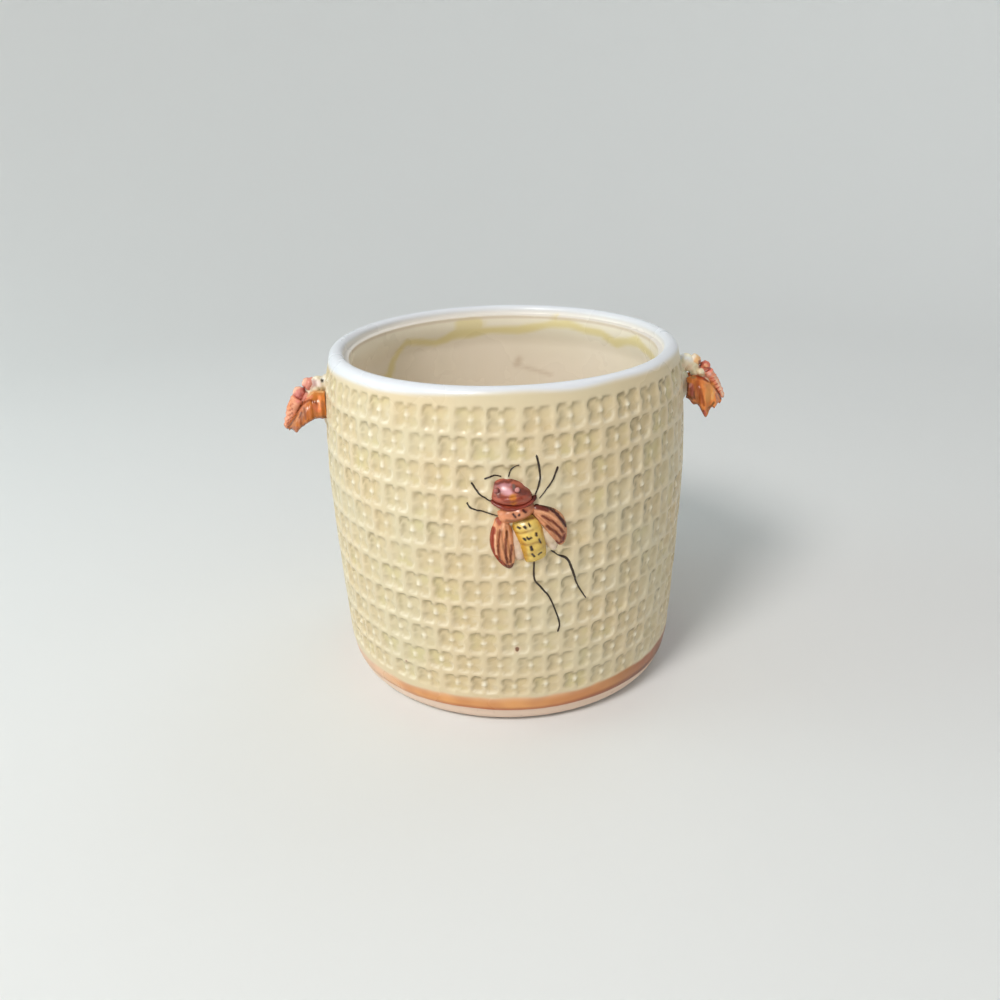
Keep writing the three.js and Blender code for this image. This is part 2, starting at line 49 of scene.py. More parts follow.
# Camera: where the photograph was taken from, in millimetres in the pot's own frame
CAMERA_AT = Vector((-22.53, -257.50, 157.55))
CAMERA_AIM = Vector((-1.97, 0.0, 45.99))
CAMERA_ROLL = math.radians(-1.55)
CAMERA_LENS = 33.73
SENSOR = 36.0


def make_camera():
    data = bpy.data.cameras.new("photo_camera")
    data.lens, data.sensor_width = CAMERA_LENS, SENSOR
    data.clip_start, data.clip_end = 0.01, 20.0
    camera = bpy.data.objects.new("photo_camera", data)
    bpy.context.scene.collection.objects.link(camera)
    turn = (CAMERA_AIM - CAMERA_AT).to_track_quat("-Z", "Y").to_matrix().to_4x4()
    camera.matrix_world = Matrix.Translation(CAMERA_AT * MM) @ turn @ Matrix.Rotation(CAMERA_ROLL, 4, "Z")
    bpy.context.scene.camera = camera


make_camera()

# Sizes of the pot in millimetres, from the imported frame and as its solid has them
pot_low, pot_high = (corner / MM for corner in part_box("pot_body"))
POT_HEIGHT = pot_high.z
BELLY_RADIUS = (pot_high.x - pot_low.x) / 2
BELLY_DROP = 33.5
SHOULDER_DROP = 7.6
SHOULDER_TAPER = 1.5
WALL_FOOT_HEIGHT = 7.6
WALL_FOOT_TAPER = 2.3
FOOT_STEP = 1.2
FOOT_ROUND = 5.5
FOOT_ROUND_HEIGHT = 4.3
FOOT_TUCK = 0.5
WALL_SWELL = 1.5
WALL_THICKNESS = 5.4
FLOOR_THICKNESS = 6.5
FLOOR_FILLET = 7.0
LIP_BASE_INSET = 1.3
LIP_RISE = 2.4
SEAT_SKIRT = 2.0
NECK_BLEND = 9.0

# The rolled lip and the lid's ledge, as glazed: a little fuller and softer than the solid
CREST_INSET = 3.7
CREST_INNER_HALF = 1.6
CREST_INNER_DROP = 1.5
LEDGE_DROP = 2.6
LEDGE_INNER_INSET = 6.9

BELLY_HEIGHT = POT_HEIGHT - BELLY_DROP
SHOULDER_HEIGHT = POT_HEIGHT - SHOULDER_DROP
SHOULDER_RADIUS = BELLY_RADIUS - SHOULDER_TAPER
WALL_FOOT_RADIUS = BELLY_RADIUS - WALL_FOOT_TAPER
LIP_BASE = POT_HEIGHT - LIP_RISE
LIP_BASE_RADIUS = SHOULDER_RADIUS - LIP_BASE_INSET
CREST_RADIUS = SHOULDER_RADIUS - CREST_INSET
LEDGE_HEIGHT = POT_HEIGHT - LEDGE_DROP
MOUTH_RADIUS = SHOULDER_RADIUS - LEDGE_INNER_INSET

# The pressed weave: heights of the ridges between its rows, and its cells round the wall
ROW_EDGES = [10.0, 16.3, 23.0, 30.3, 38.2, 46.0, 53.8, 61.6, 69.3, 77.0, 84.0, 91.2]
CELLS_ROUND = 38
FIRST_PHASE = 3.7
ROW_LEAN = 0.17
RIDGE_HALF = 0.6
RECESS_DEPTH = 0.64
RECESS_CORNER = 1.5
NOTCH_RADIUS = 0.84
DOT_RADIUS = 0.66
CELL_JITTER = 0.36
CELL_PITCH = 2 * math.pi * BELLY_RADIUS / CELLS_ROUND

# Where the painted band over the foot runs, and where the lip's white glaze ends at eighths of the way round
FOOT_BAND_LOW = 4.8
FOOT_BAND_HIGH = 9.4
WHITE_LOW = [93.2, 92.8, 91.9, 92.3, 93.9, 94.0, 93.4, 92.8, 93.2]

# The applied insect's waist, and how far a raised place looks shifted on the wall from the photograph's side
INSECT_ACROSS = -1.0
INSECT_UP = POT_HEIGHT - 31.5
SEEN_ASIDE = 0.11
SEEN_DOWN = 0.45


# Small tools

def linear(red, green, blue):
    """A colour given as 0 to 255 screen values, as the shader's linear numbers."""
    values = np.array([red, green, blue], float) / 255
    return tuple(np.where(values <= 0.04045, values / 12.92, ((values + 0.055) / 1.055) ** 2.4))


def smooth(low, high, value):
    """0 below low and 1 above high, or the other way round where low is the larger."""
    part = np.clip((value - low) / (high - low), 0, 1)
    return part * part * (3 - 2 * part)


def noise(x, y, seed, period=64):
    """Smooth seeded noise from -1 to 1 on a unit lattice, repeating in x after a whole period."""
    table = np.random.RandomState(seed).uniform(-1, 1, (80, 64))
    x0, y0 = np.floor(x).astype(int), np.floor(y).astype(int)
    fx, fy = x - x0, y - y0
    fx, fy = fx * fx * (3 - 2 * fx), fy * fy * (3 - 2 * fy)
    near = table[x0 % period, y0 % 64] * (1 - fx) + table[(x0 + 1) % period, y0 % 64] * fx
    far = table[x0 % period, (y0 + 1) % 64] * (1 - fx) + table[(x0 + 1) % period, (y0 + 1) % 64] * fx
    return near * (1 - fy) + far * fy


def spline(points, t):
    """Points of a Catmull-Rom curve through the given ones, at t from 0 to 1."""
    points = np.asarray(points, float)
    last = len(points) - 1
    place = np.clip(np.asarray(t, float), 0, 1) * last
    i = np.minimum(place.astype(int), last - 1)
    f = (place - i)[..., None]
    padded = np.vstack([2 * points[0] - points[1], points, 2 * points[-1] - points[-2]])
    p0, p1, p2, p3 = (padded[i + k] for k in range(4))
    bend = 2 * p0 - 5 * p1 + 4 * p2 - p3
    return p1 + 0.5 * f * (p2 - p0 + f * (bend + f * (3 * (p1 - p2) + p3 - p0)))


def smooth_list(values, t):
    """A value read off a list at evenly spaced stations, with a smooth run between them."""
    values = np.asarray(values, float)
    place = np.clip(t, 0, 1) * (len(values) - 1)
    i = np.minimum(place.astype(int), len(values) - 2)
    f = place - i
    return values[i] + (values[i + 1] - values[i]) * f * f * (3 - 2 * f)


def add_mesh(name, corners, faces, material, attributes=()):
    """A smooth-shaded mesh object from millimetre corners, with named numbers or colours on them."""
    mesh = bpy.data.meshes.new(name)
    mesh.from_pydata((np.asarray(corners) * MM).tolist(), [], faces)
    mesh.validate()
    mesh.polygons.foreach_set("use_smooth", [True] * len(mesh.polygons))
    for key, values in dict(attributes).items():
        values = np.asarray(values, np.float32)
        if values.ndim == 1:
            mesh.attributes.new(key, "FLOAT", "POINT").data.foreach_set("value", values)
        else:
            colours = np.ones((len(values), 4), np.float32)
            colours[:, :3] = values
            mesh.attributes.new(key, "FLOAT_COLOR", "POINT").data.foreach_set("color", colours.ravel())
    mesh.materials.append(material)
    piece = bpy.data.objects.new(name, mesh)
    bpy.context.scene.collection.objects.link(piece)
    return piece


def place_piece(piece, node):
    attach(piece, "root")
    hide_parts(node)


# Paint: strokes laid on a plan, each with its points, width, colour, strength and softness

def stroke_cover(plan, points, width, softness):
    """How much of each plan point a round brush along the points covers, from 0 to 1."""
    route = np.asarray(points, float).reshape(-1, 2)
    nearest = np.full(len(plan), 1e9)
    for start, end in zip(route[:-1] if len(route) > 1 else route, route[1:] if len(route) > 1 else route):
        run = end - start
        part = np.clip(((plan - start) @ run) / max(float(run @ run), 1e-9), 0, 1)[:, None]
        nearest = np.minimum(nearest, np.linalg.norm(plan - start - part * run, axis=1))
    return smooth(width / 2 + softness, width / 2 - softness, nearest)


def paint(plan, base, strokes, seed):
    """Colours on plan points: a slightly uneven base with strokes over it."""
    plan = np.asarray(plan, float)
    colours = np.tile(np.array(linear(*base)), (len(plan), 1))
    colours *= 1 + 0.12 * noise(plan[:, 0] * 0.9, plan[:, 1] * 0.9, seed)[:, None]
    wobble = 0.1 * np.stack([noise(plan[:, 0] * 1.7, plan[:, 1] * 1.7, seed + 1),
                             noise(plan[:, 0] * 1.7, plan[:, 1] * 1.7, seed + 2)], axis=1)
    for points, width, colour, strength, softness in strokes:
        cover = (strength * stroke_cover(plan + wobble, points, width, softness))[:, None]
        colours = colours * (1 - cover) + np.array(linear(*colour)) * cover
    return np.clip(colours, 0, 1)


# Materials

class Nodes:
    """Short names for the shader nodes used here; a number, a colour or a socket fits every input."""

    def __init__(self, name):
        self.material = bpy.data.materials.new(name)
        self.material.use_nodes = True
        self.tree = self.material.node_tree
        self.shader = self.tree.nodes["Principled BSDF"]

    def put(self, value, socket):
        if isinstance(value, bpy.types.NodeSocket):
            self.tree.links.new(value, socket)
        elif isinstance(value, (int, float)):
            socket.default_value = value
        else:
            socket.default_value = (*value, 1.0)

    def mix(self, factor, first, second, blend="MIX"):
        node = self.tree.nodes.new("ShaderNodeMix")
        node.data_type, node.blend_type = "RGBA", blend
        for index, value in ((0, factor), (6, first), (7, second)):
            self.put(value, node.inputs[index])
        return node.outputs[2]

    def maths(self, operation, *values):
        node = self.tree.nodes.new("ShaderNodeMath")
        node.operation = operation
        for socket, value in zip(node.inputs, values):
            self.put(value, socket)
        return node.outputs[0]

    def step(self, value, low, high):
        node = self.tree.nodes.new("ShaderNodeMapRange")
        node.interpolation_type = "SMOOTHSTEP"
        for name, given in (("Value", value), ("From Min", low), ("From Max", high)):
            self.put(given, node.inputs[name])
        return node.outputs["Result"]

    def noise(self, scale, detail=3.0):
        node = self.tree.nodes.new("ShaderNodeTexNoise")
        node.inputs["Scale"].default_value, node.inputs["Detail"].default_value = scale, detail
        self.tree.links.new(self.position(), node.inputs["Vector"])
        return node.outputs["Fac"]

    def position(self):
        return self.tree.nodes.new("ShaderNodeNewGeometry").outputs["Position"]

    def near(self, place):
        """Distance in millimetres from a place given in millimetres."""
        node = self.tree.nodes.new("ShaderNodeVectorMath")
        node.operation = "DISTANCE"
        self.tree.links.new(self.position(), node.inputs[0])
        node.inputs[1].default_value = [value * MM for value in place]
        return self.maths("MULTIPLY", node.outputs["Value"], 1 / MM)

    def attribute(self, name, output="Fac"):
        node = self.tree.nodes.new("ShaderNodeAttribute")
        node.attribute_name = name
        return node.outputs[output]

    def bump(self, height, strength, distance):
        node = self.tree.nodes.new("ShaderNodeBump")
        node.inputs["Strength"].default_value, node.inputs["Distance"].default_value = strength, distance
        self.tree.links.new(height, node.inputs["Height"])
        self.tree.links.new(node.outputs["Normal"], self.shader.inputs["Normal"])


CREAM_RIDGE = linear(221, 201, 164)
CREAM_FLOOR = linear(213, 191, 149)
CREAM_COOL = linear(213, 205, 174)
CREAM_GREEN = linear(208, 198, 134)
DOT_HIGHLIGHT = linear(250, 240, 218)
POOLED_GLAZE_AND_SHADE = linear(130, 112, 78)
WHITE_GLAZE = linear(228, 230, 235)
LEDGE_GLAZE = linear(236, 230, 222)
INNER_GLAZE = linear(244, 232, 214)
INNER_ABOVE = linear(248, 240, 222)
INNER_POOL = linear(234, 218, 150)
INNER_MARK_AND_SHADOW = linear(196, 172, 146)
BAND_ORANGE = linear(228, 162, 100)
BAND_RUST = linear(180, 98, 54)
BAND_RUST_SHADED = linear(124, 66, 34)
BAND_PALE = linear(232, 202, 176)
BAND_SHADED = linear(156, 92, 46)
BISCUIT = linear(232, 206, 186)
SPECK = linear(124, 78, 52)
SPECKS = [((-2.51, -50.16, 25.0), 1.0), ((-32.03, -38.02, 16.0), 0.75)]


def pot_material():
    n = Nodes("cream_glazed_earthenware")
    split = n.tree.nodes.new("ShaderNodeSeparateXYZ")
    n.tree.links.new(n.position(), split.inputs[0])
    height = n.maths("MULTIPLY", split.outputs["Z"], 1 / MM)
    aside = n.maths("MULTIPLY", split.outputs["X"], 1 / MM)
    soft_noise, fine_noise, cell_noise = n.noise(45.0), n.noise(420.0), n.noise(120.0, 1.0)

    # the wall: pale ridges, glaze pooled a little darker in the recesses, and a dark line of pooled glaze and painted
    # shade along their upper edges
    wall = n.mix(n.attribute("relief"), CREAM_RIDGE, CREAM_FLOOR)
    wall = n.mix(n.maths("MULTIPLY", n.step(soft_noise, 0.4, 0.7), 0.45), wall, CREAM_COOL)
    green = n.maths("MULTIPLY", n.step(cell_noise, 0.5, 0.75), n.attribute("relief"))
    wall = n.mix(n.maths("MULTIPLY", green, 0.34), wall, CREAM_GREEN)
    # painted shade: the dark edge line is drawn stronger towards the right side of the pot, which lies in shade
    line = n.maths("MULTIPLY", n.attribute("line"), n.maths("MULTIPLY_ADD", n.step(aside, 5.0, 40.0), 0.45, 0.55))
    wall = n.mix(line, wall, POOLED_GLAZE_AND_SHADE)
    # painted highlight: pale glints on the raised dots and along the cells' lower-right edges
    wall = n.mix(n.attribute("dot"), wall, DOT_HIGHLIGHT)
    for place, size in SPECKS:
        reach = n.maths("ADD", n.near(place), n.maths("MULTIPLY", fine_noise, 0.4))
        wall = n.mix(n.maths("MULTIPLY", n.step(reach, 1.6 * size, 0.9 * size), 0.4), wall, BAND_PALE)
        wall = n.mix(n.maths("MULTIPLY", n.step(reach, 1.08 * size, 0.8 * size), 0.95 * size ** 2), wall, SPECK)

    # the painted band over the foot: rusty along its lower edge, thinner and paler on the left, duller and darker on
    # the right as painted shade
    wobble = n.maths("MULTIPLY", n.maths("SUBTRACT", soft_noise, 0.5), 1.4)
    ragged = n.maths("MULTIPLY", n.maths("SUBTRACT", cell_noise, 0.5), 1.6)
    top_height = n.maths("MULTIPLY_ADD", aside, -0.024, n.maths("ADD", height, n.maths("ADD", wobble, ragged)))
    low_height = n.maths("ADD", n.maths("ADD", height, n.step(n.maths("ABSOLUTE", aside), 15.0, 45.0)), wobble)
    orange = n.mix(n.maths("MULTIPLY", n.step(aside, -26.0, -46.0), 0.6), BAND_ORANGE, BAND_PALE)
    upper = n.step(top_height, FOOT_BAND_HIGH - 2.2, FOOT_BAND_HIGH)
    right = n.step(aside, 5.0, 35.0)
    orange = n.mix(n.maths("MULTIPLY", upper, n.maths("MULTIPLY_ADD", right, -0.4, 0.4)), orange, BAND_PALE)
    # painted shade: the band turns duller towards the right side
    orange = n.mix(n.step(aside, 12.0, 40.0), orange, BAND_SHADED)
    streaks = n.maths("MULTIPLY", n.step(cell_noise, 0.4, 0.7), 0.4)
    orange = n.mix(streaks, orange, BAND_RUST)
    rust_height = n.maths("MULTIPLY_ADD", right, -1.3, low_height)
    rusty = n.maths("MULTIPLY", n.step(rust_height, FOOT_BAND_LOW + 1.4, FOOT_BAND_LOW),
                    n.maths("MULTIPLY_ADD", n.step(aside, -5.0, -40.0), -0.5, 0.9))
    # the rusty lower edge, darker towards the right as painted shade
    orange = n.mix(rusty, orange, n.mix(n.step(aside, 5.0, 40.0), BAND_RUST, BAND_RUST_SHADED))
    wall = n.mix(n.step(top_height, FOOT_BAND_HIGH + 0.4, FOOT_BAND_HIGH - 0.9), wall, orange)
    bare = n.step(low_height, FOOT_BAND_LOW + 0.15, FOOT_BAND_LOW - 0.25)
    speckle = n.maths("MULTIPLY", n.step(fine_noise, 0.64, 0.74), 0.35)
    wall = n.mix(bare, wall, n.mix(speckle, BISCUIT, linear(176, 140, 110)))

    # the inside: clear glaze over a pinkish clay, creamier near the top, with a line where it pooled
    lining = n.mix(n.step(n.maths("ADD", height, wobble), 82.0, 89.0), INNER_GLAZE, INNER_ABOVE)
    lining = n.mix(n.maths("MULTIPLY", n.step(soft_noise, 0.35, 0.75), 0.3), lining, linear(232, 222, 196))
    lining = n.mix(n.attribute("ledge"), lining, LEDGE_GLAZE)
    lining = n.mix(n.attribute("stain"), lining, INNER_POOL)
    # brown marks, and a painted shadow line just under the lid's ledge
    lining = n.mix(n.attribute("mark_and_shadow"), lining, INNER_MARK_AND_SHADOW)
    colour = n.mix(n.attribute("inside"), wall, lining)
    colour = n.mix(n.attribute("white"), colour, WHITE_GLAZE)
    n.put(colour, n.shader.inputs["Base Color"])

    rough = n.maths("MULTIPLY_ADD", n.maths("MULTIPLY", bare, n.maths("SUBTRACT", 1.0, n.attribute("inside"))),
                    0.5, 0.22)
    n.put(n.maths("MULTIPLY_ADD", soft_noise, 0.12, rough), n.shader.inputs["Roughness"])
    n.bump(n.maths("MULTIPLY_ADD", cell_noise, 0.8, fine_noise), 0.35, 0.00012)
    return n.material


def painted_material(name, roughness=0.2, grain=500.0, depth=0.00008):
    """Glaze over painted colours that the mesh carries."""
    n = Nodes(name)
    mottle = n.noise(grain)
    shade = n.mix(n.step(mottle, 0.4, 0.75), (1.0, 1.0, 1.0), (0.8, 0.72, 0.66))
    n.put(n.mix(1.0, n.attribute("paint", "Color"), shade, "MULTIPLY"), n.shader.inputs["Base Color"])
    n.shader.inputs["Roughness"].default_value = roughness
    n.bump(mottle, 0.4, depth)
    return n.material


# The pot

def wall_radius(height):
    """Outside radius over the ridges: swells to the belly from foot and shoulder, then leans in to the lip."""
    height = np.asarray(height, float)
    below = height < BELLY_HEIGHT
    span = np.where(below, BELLY_HEIGHT - WALL_FOOT_HEIGHT, SHOULDER_HEIGHT - BELLY_HEIGHT)
    drop = BELLY_RADIUS - np.where(below, WALL_FOOT_RADIUS, SHOULDER_RADIUS)
    swell = BELLY_RADIUS - drop * (np.abs(height - BELLY_HEIGHT) / span) ** WALL_SWELL
    lean = (height - SHOULDER_HEIGHT) / (LIP_BASE - SHOULDER_HEIGHT)
    return np.where(height > SHOULDER_HEIGHT, SHOULDER_RADIUS + (LIP_BASE_RADIUS - SHOULDER_RADIUS) * lean, swell)


def weave(turn, height):
    """The pressed weave at an angle from the front and a height: (lift, hollow, dark line of pooled glaze and painted
    shade, painted highlight).
    """
    turn, height = np.broadcast_arrays(np.asarray(turn, float), np.asarray(height, float))
    edges = np.array(ROW_EDGES)
    row = np.clip(np.searchsorted(edges, height, side="right") - 1, 0, len(edges) - 2)
    from_top = len(edges) - 2 - row
    phase = FIRST_PHASE + ROW_LEAN * from_top + np.where(from_top % 2 == 1, CELL_PITCH / 2, 0)
    across = turn * BELLY_RADIUS - phase
    cell = np.round(across / CELL_PITCH).astype(int) % CELLS_ROUND
    dice = np.random.RandomState(11).uniform(-1, 1, (len(edges), CELLS_ROUND, 5))[row, cell]
    waver = 0.22 * noise(turn * 40 / math.pi, height * 0.5, 5, 80)
    x = (across + CELL_PITCH / 2) % CELL_PITCH - CELL_PITCH / 2 - CELL_JITTER * dice[..., 0] + waver
    y = height - (edges[row] + edges[row + 1]) / 2 - 0.6 * CELL_JITTER * dice[..., 1] + waver
    half_x = CELL_PITCH / 2 - RIDGE_HALF + 0.15 * dice[..., 2]
    half_y = (edges[row + 1] - edges[row]) / 2 - RIDGE_HALF * 0.8
    qx, qy = np.abs(x) - half_x + RECESS_CORNER, np.abs(y) - half_y + RECESS_CORNER
    edge = np.hypot(np.maximum(qx, 0), np.maximum(qy, 0)) + np.minimum(np.maximum(qx, qy), 0) - RECESS_CORNER
    for nx, ny in ((half_x, 0), (-half_x, 0), (0, half_y), (0, -half_y)):
        edge = np.maximum(edge, NOTCH_RADIUS - np.hypot(x - nx, y - ny))
    rows = smooth(edges[0] - 0.6, edges[0] + 0.2, height) * smooth(edges[-1] + 0.6, edges[-1] - 0.2, height)
    recess = smooth(0.3, -0.55, edge) * rows
    from_dot = np.hypot(x, y)
    dot = np.exp(-((from_dot / DOT_RADIUS) ** 3)) * (0.85 + 0.25 * dice[..., 3]) * rows
    depth = RECESS_DEPTH * (0.88 + 0.3 * dice[..., 4])
    quiet = calm(turn, height)
    # painted shade: the dark line inside each cell's edge is strongest at the upper left, where the recess wall faces
    # away from the lamp, over a little pooled glaze
    upper_left = smooth(-0.2, 0.9, 0.7 * y / half_y - 0.6 * x / half_x)
    line = np.exp(-(((edge + 0.3) / 0.34) ** 2)) * (0.2 + 0.8 * upper_left) * (0.8 + 0.3 * dice[..., 3])
    # painted shadow: a dark ring on the lower side of each raised dot
    line += 0.4 * np.exp(-(((from_dot - 1.0) / 0.28) ** 2)) * smooth(0.3, -0.6, y)
    lift = depth * quiet * recess * (0.95 * dot - 1)
    # painted highlight along the cells' lower-right edges, where the ridges face the lamp and the glaze also runs
    # thin; it joins the highlight on the dots
    lower_right = smooth(-0.1, 0.9, 0.2 * x / half_x - 0.9 * y / half_y) * rows * (0.5 + 0.5 * dice[..., 1])
    light = 0.6 * lower_right * np.exp(-(((edge + 0.1) / 0.3) ** 2))
    return lift, recess * (1 - dot) * (0.4 + 0.6 * quiet), line * rows * quiet, np.maximum(0.9 * dot, light) * quiet


def calm(turn, height):
    """How strongly the weave shows: it was smoothed down where the insect was luted on."""
    reach = np.hypot((turn * BELLY_RADIUS - INSECT_ACROSS - 1.0) / 8.5, (height - INSECT_UP + 1.0) / 12.0)
    return 0.3 + 0.7 * smooth(0.7, 1.25, reach)


def wobble_of(turn, height):
    """Slow unevenness of a hand-finished pot."""
    return 0.12 * np.sin(2 * turn + 0.6) + 0.06 * np.sin(3 * turn + height * 0.03) - 0.16


def arc_points(centre, radii, start, end, steps):
    turn = np.linspace(start, end, steps + 1)
    return [(centre[0] + radii[0] * math.cos(a), centre[1] + radii[1] * math.sin(a)) for a in turn]


def weave_heights():
    """Rows of the mesh up the weave: close together at the ridges and at the dots."""
    parts = np.array([0, 0.045, 0.09, 0.145, 0.26, 0.41, 0.5, 0.59, 0.74, 0.855, 0.91, 0.955])
    rows = [low + (high - low) * parts for low, high in zip(ROW_EDGES[:-1], ROW_EDGES[1:])]
    return np.concatenate([*rows, [ROW_EDGES[-1]]])


def column_turns():
    """Angles of the mesh round the pot: close together at every half cell, where dots and ridges are."""
    parts = np.array([0, 0.09, 0.185, 0.345, 0.655, 0.815, 0.91])
    half_cells = 2 * CELLS_ROUND
    turns = (np.arange(half_cells)[:, None] + parts).ravel() * math.pi / CELLS_ROUND
    return turns + FIRST_PHASE / BELLY_RADIUS


def lean_at(height):
    """How far the columns of cells have leaned round at a height, as an angle."""
    rows_down = len(ROW_EDGES) - 1.5 - np.interp(height, ROW_EDGES, np.arange(len(ROW_EDGES)))
    return ROW_LEAN * rows_down / BELLY_RADIUS


def pot_rings():
    """Rings from the foot's middle up the outside, over the lip and down the inside: (radius, height, kind)."""
    quarter = math.pi / 2
    foot = arc_points((WALL_FOOT_RADIUS - FOOT_ROUND, FOOT_ROUND_HEIGHT), (FOOT_ROUND - FOOT_STEP, FOOT_ROUND_HEIGHT),
                      -quarter, 0, 6)
    wall = [(float(wall_radius(z) - FOOT_TUCK * smooth(9.5, FOOT_ROUND_HEIGHT, z)), z)
            for z in (4.9, 6.2, 7.6, 8.8, *weave_heights(), 91.9)]
    outer_lip = arc_points((CREST_RADIUS, LIP_BASE), (LIP_BASE_RADIUS - CREST_RADIUS, LIP_RISE), 0, quarter, 8)
    inner_lip = arc_points((CREST_RADIUS, POT_HEIGHT - CREST_INNER_DROP), (CREST_INNER_HALF, CREST_INNER_DROP),
                           quarter, math.pi, 6)[1:]
    corner, edge = CREST_RADIUS - CREST_INNER_HALF, 0.25
    ledge = [(corner, LEDGE_HEIGHT + edge), (corner - edge, LEDGE_HEIGHT), (MOUTH_RADIUS + edge, LEDGE_HEIGHT),
             (MOUTH_RADIUS, LEDGE_HEIGHT - edge)]
    skirt = LEDGE_HEIGHT - SEAT_SKIRT
    top, bottom = skirt - NECK_BLEND, FLOOR_THICKNESS + FLOOR_FILLET
    lining = []
    for z in (*np.arange(LEDGE_HEIGHT - 0.6, 70, -0.8), 66.0, 60.0, 50.0, 38.0, 26.0, bottom):
        below = float(wall_radius(min(z, top))) - WALL_THICKNESS
        lining.append((below + (MOUTH_RADIUS - below) * float(smooth(top, skirt, z)), z))
    fillet = arc_points((lining[-1][0] - FLOOR_FILLET, bottom), (FLOOR_FILLET, FLOOR_FILLET), 0, -quarter, 5)[1:]
    rings = [(r, 0.0, "foot") for r in (2.0, 16.0, 32.0, 41.0)]
    rings += [(r, z, "outer") for r, z in (*foot, *wall, *outer_lip)]
    rings += [(r, z, "inside") for r, z in (*inner_lip, *ledge, *lining, *fillet)]
    return rings + [(r, FLOOR_THICKNESS, "inside") for r in (24.0, 10.0, 2.0)]


# Where the clear glaze pooled inside: angle from the back towards -X, and height
POOL_LINE = [(3.2, 87.6), (2.6, 86.6), (2.0, 87.4), (1.5, 85.2), (1.15, 79.5), (0.95, 75.4), (0.83, 77.1),
             (0.79, 81.2), (0.74, 84.3), (0.68, 87.0), (0.58, 86.3), (0.42, 84.8), (0.34, 85.7), (0.29, 86.8),
             (0.16, 86.9), (0.01, 87.5), (-0.2, 87.3), (-0.3, 88.1), (-0.46, 89.7), (-0.6, 90.2), (-0.74, 88.8),
             (-0.88, 88.7), (-0.95, 87.2), (-1.01, 86.4), (-1.1, 87.6), (-1.28, 89.4), (-1.35, 88.3), (-1.45, 87.5),
             (-1.7, 85.8), (-2.1, 87.9), (-2.6, 86.2), (-3.2, 87.6)]


def stains(turn, height):
    """How strongly the pooled line, the brown marks and a painted shadow line just under the ledge show inside:
    (stain, marks and shadow).
    """
    from_back = np.arctan2(np.sin(turn), np.cos(turn))
    from_back = np.where(from_back > 0, from_back - math.pi, from_back + math.pi)
    plan = np.stack([from_back * MOUTH_RADIUS, np.full_like(turn, height)], axis=1)
    wide = [(a * MOUTH_RADIUS, z) for a, z in POOL_LINE]
    stain = 0.75 * stroke_cover(plan, wide, 2.7 + 0.9 * noise(turn * 7, turn * 0, 3), 0.7)
    stain = np.maximum(stain, 0.62 * stroke_cover(plan, [(4.6, 89.7), (9.8, 89.6)], 4.4, 0.7))
    stain = np.maximum(stain, 0.6 * stroke_cover(plan, [(-21.3, 92), (-21.3, 89.6)], 1.6, 0.5))
    mark_and_shadow = 0.5 * stroke_cover(plan, [(-8.9, 77.2), (-8.0, 75.4)], 2.0, 1.0)
    mark_and_shadow = np.maximum(mark_and_shadow, 0.45 * stroke_cover(plan, [(-10.8, 74.3), (-18.7, 72.2)], 1.0, 0.8))
    # painted shadow: a darker line just under the lid's ledge, joined to the brown marks
    return stain, np.maximum(mark_and_shadow, 0.5 * smooth(0.7, 0.2, abs(height - LEDGE_HEIGHT + 0.5)))


def pot_piece():
    turns = column_turns()
    keys = ("relief", "line", "dot", "white", "inside", "ledge", "stain", "mark_and_shadow")
    corners, counts, values = [], [], {key: [] for key in keys}
    for radius, height, kind in pot_rings():
        ring = (turns if kind == "outer" else turns[::2]) + lean_at(height)
        level = np.full_like(ring, height)
        given = {key: np.zeros_like(ring) for key in keys}
        lift = np.zeros_like(ring)
        if kind == "outer":
            lift, given["relief"], given["line"], given["dot"] = weave(ring, level)
            share = (np.arctan2(np.sin(ring), np.cos(ring)) / math.pi + 1) / 2
            low = smooth_list(WHITE_LOW, share) + 0.35 * noise(ring * 12 / math.pi, level * 0, 8, 24)
            given["white"] = smooth(-0.9, 0.7, height - low)
        if kind == "inside":
            given["inside"] += 1
            given["white"] += smooth(POT_HEIGHT - 2.4, POT_HEIGHT - 0.6, height)
            given["ledge"] += 0.9 * smooth(LEDGE_HEIGHT - 0.5, LEDGE_HEIGHT, height)
            if height > 66:
                given["stain"], given["mark_and_shadow"] = stains(ring, height)
        reach = radius + lift + wobble_of(ring, height) * (radius / BELLY_RADIUS if height > 0 else 0)
        tilt = (0.1 * np.sin(ring * 2 + 1.1) - 0.1) * smooth(88, POT_HEIGHT, height)
        corners.append(np.stack([reach * np.sin(ring), -reach * np.cos(ring), height + tilt], axis=1))
        counts.append(len(ring))
        for key in keys:
            values[key].append(given[key])
    starts = np.concatenate([[0], np.cumsum(counts)]).tolist()
    faces = [[starts[0] + (i + 1) % counts[0], starts[0] + i, starts[-1]] for i in range(counts[0])]
    for low, high, n, m in zip(starts[:-2], starts[1:-1], counts[:-1], counts[1:]):
        if n == m:
            faces += [[low + i, low + (i + 1) % n, high + (i + 1) % n, high + i] for i in range(n)]
        elif n < m:
            for i in range(n):
                a, b, c = high + 2 * i, high + 2 * i + 1, high + (2 * i + 2) % m
                faces += [[low + i, b, a], [low + i, low + (i + 1) % n, c, b]]
        else:
            for i in range(m):
                a, b, c = low + 2 * i, low + 2 * i + 1, low + (2 * i + 2) % n
                faces += [[a, b, high + i], [b, c, high + (i + 1) % m, high + i]]
    last, size = starts[-2], counts[-1]
    faces += [[last + i, last + (i + 1) % size, starts[-1] + 1] for i in range(size)]
    corners.append(np.array([[0, 0, 0.0], [0, 0, FLOOR_THICKNESS]]))
    attributes = {key: np.concatenate([*values[key], [0, 1.0 if key == "inside" else 0]]) for key in keys}
    return add_mesh("pot_wall", np.concatenate(corners), faces, pot_material(), attributes)


place_piece(pot_piece(), "pot_body")


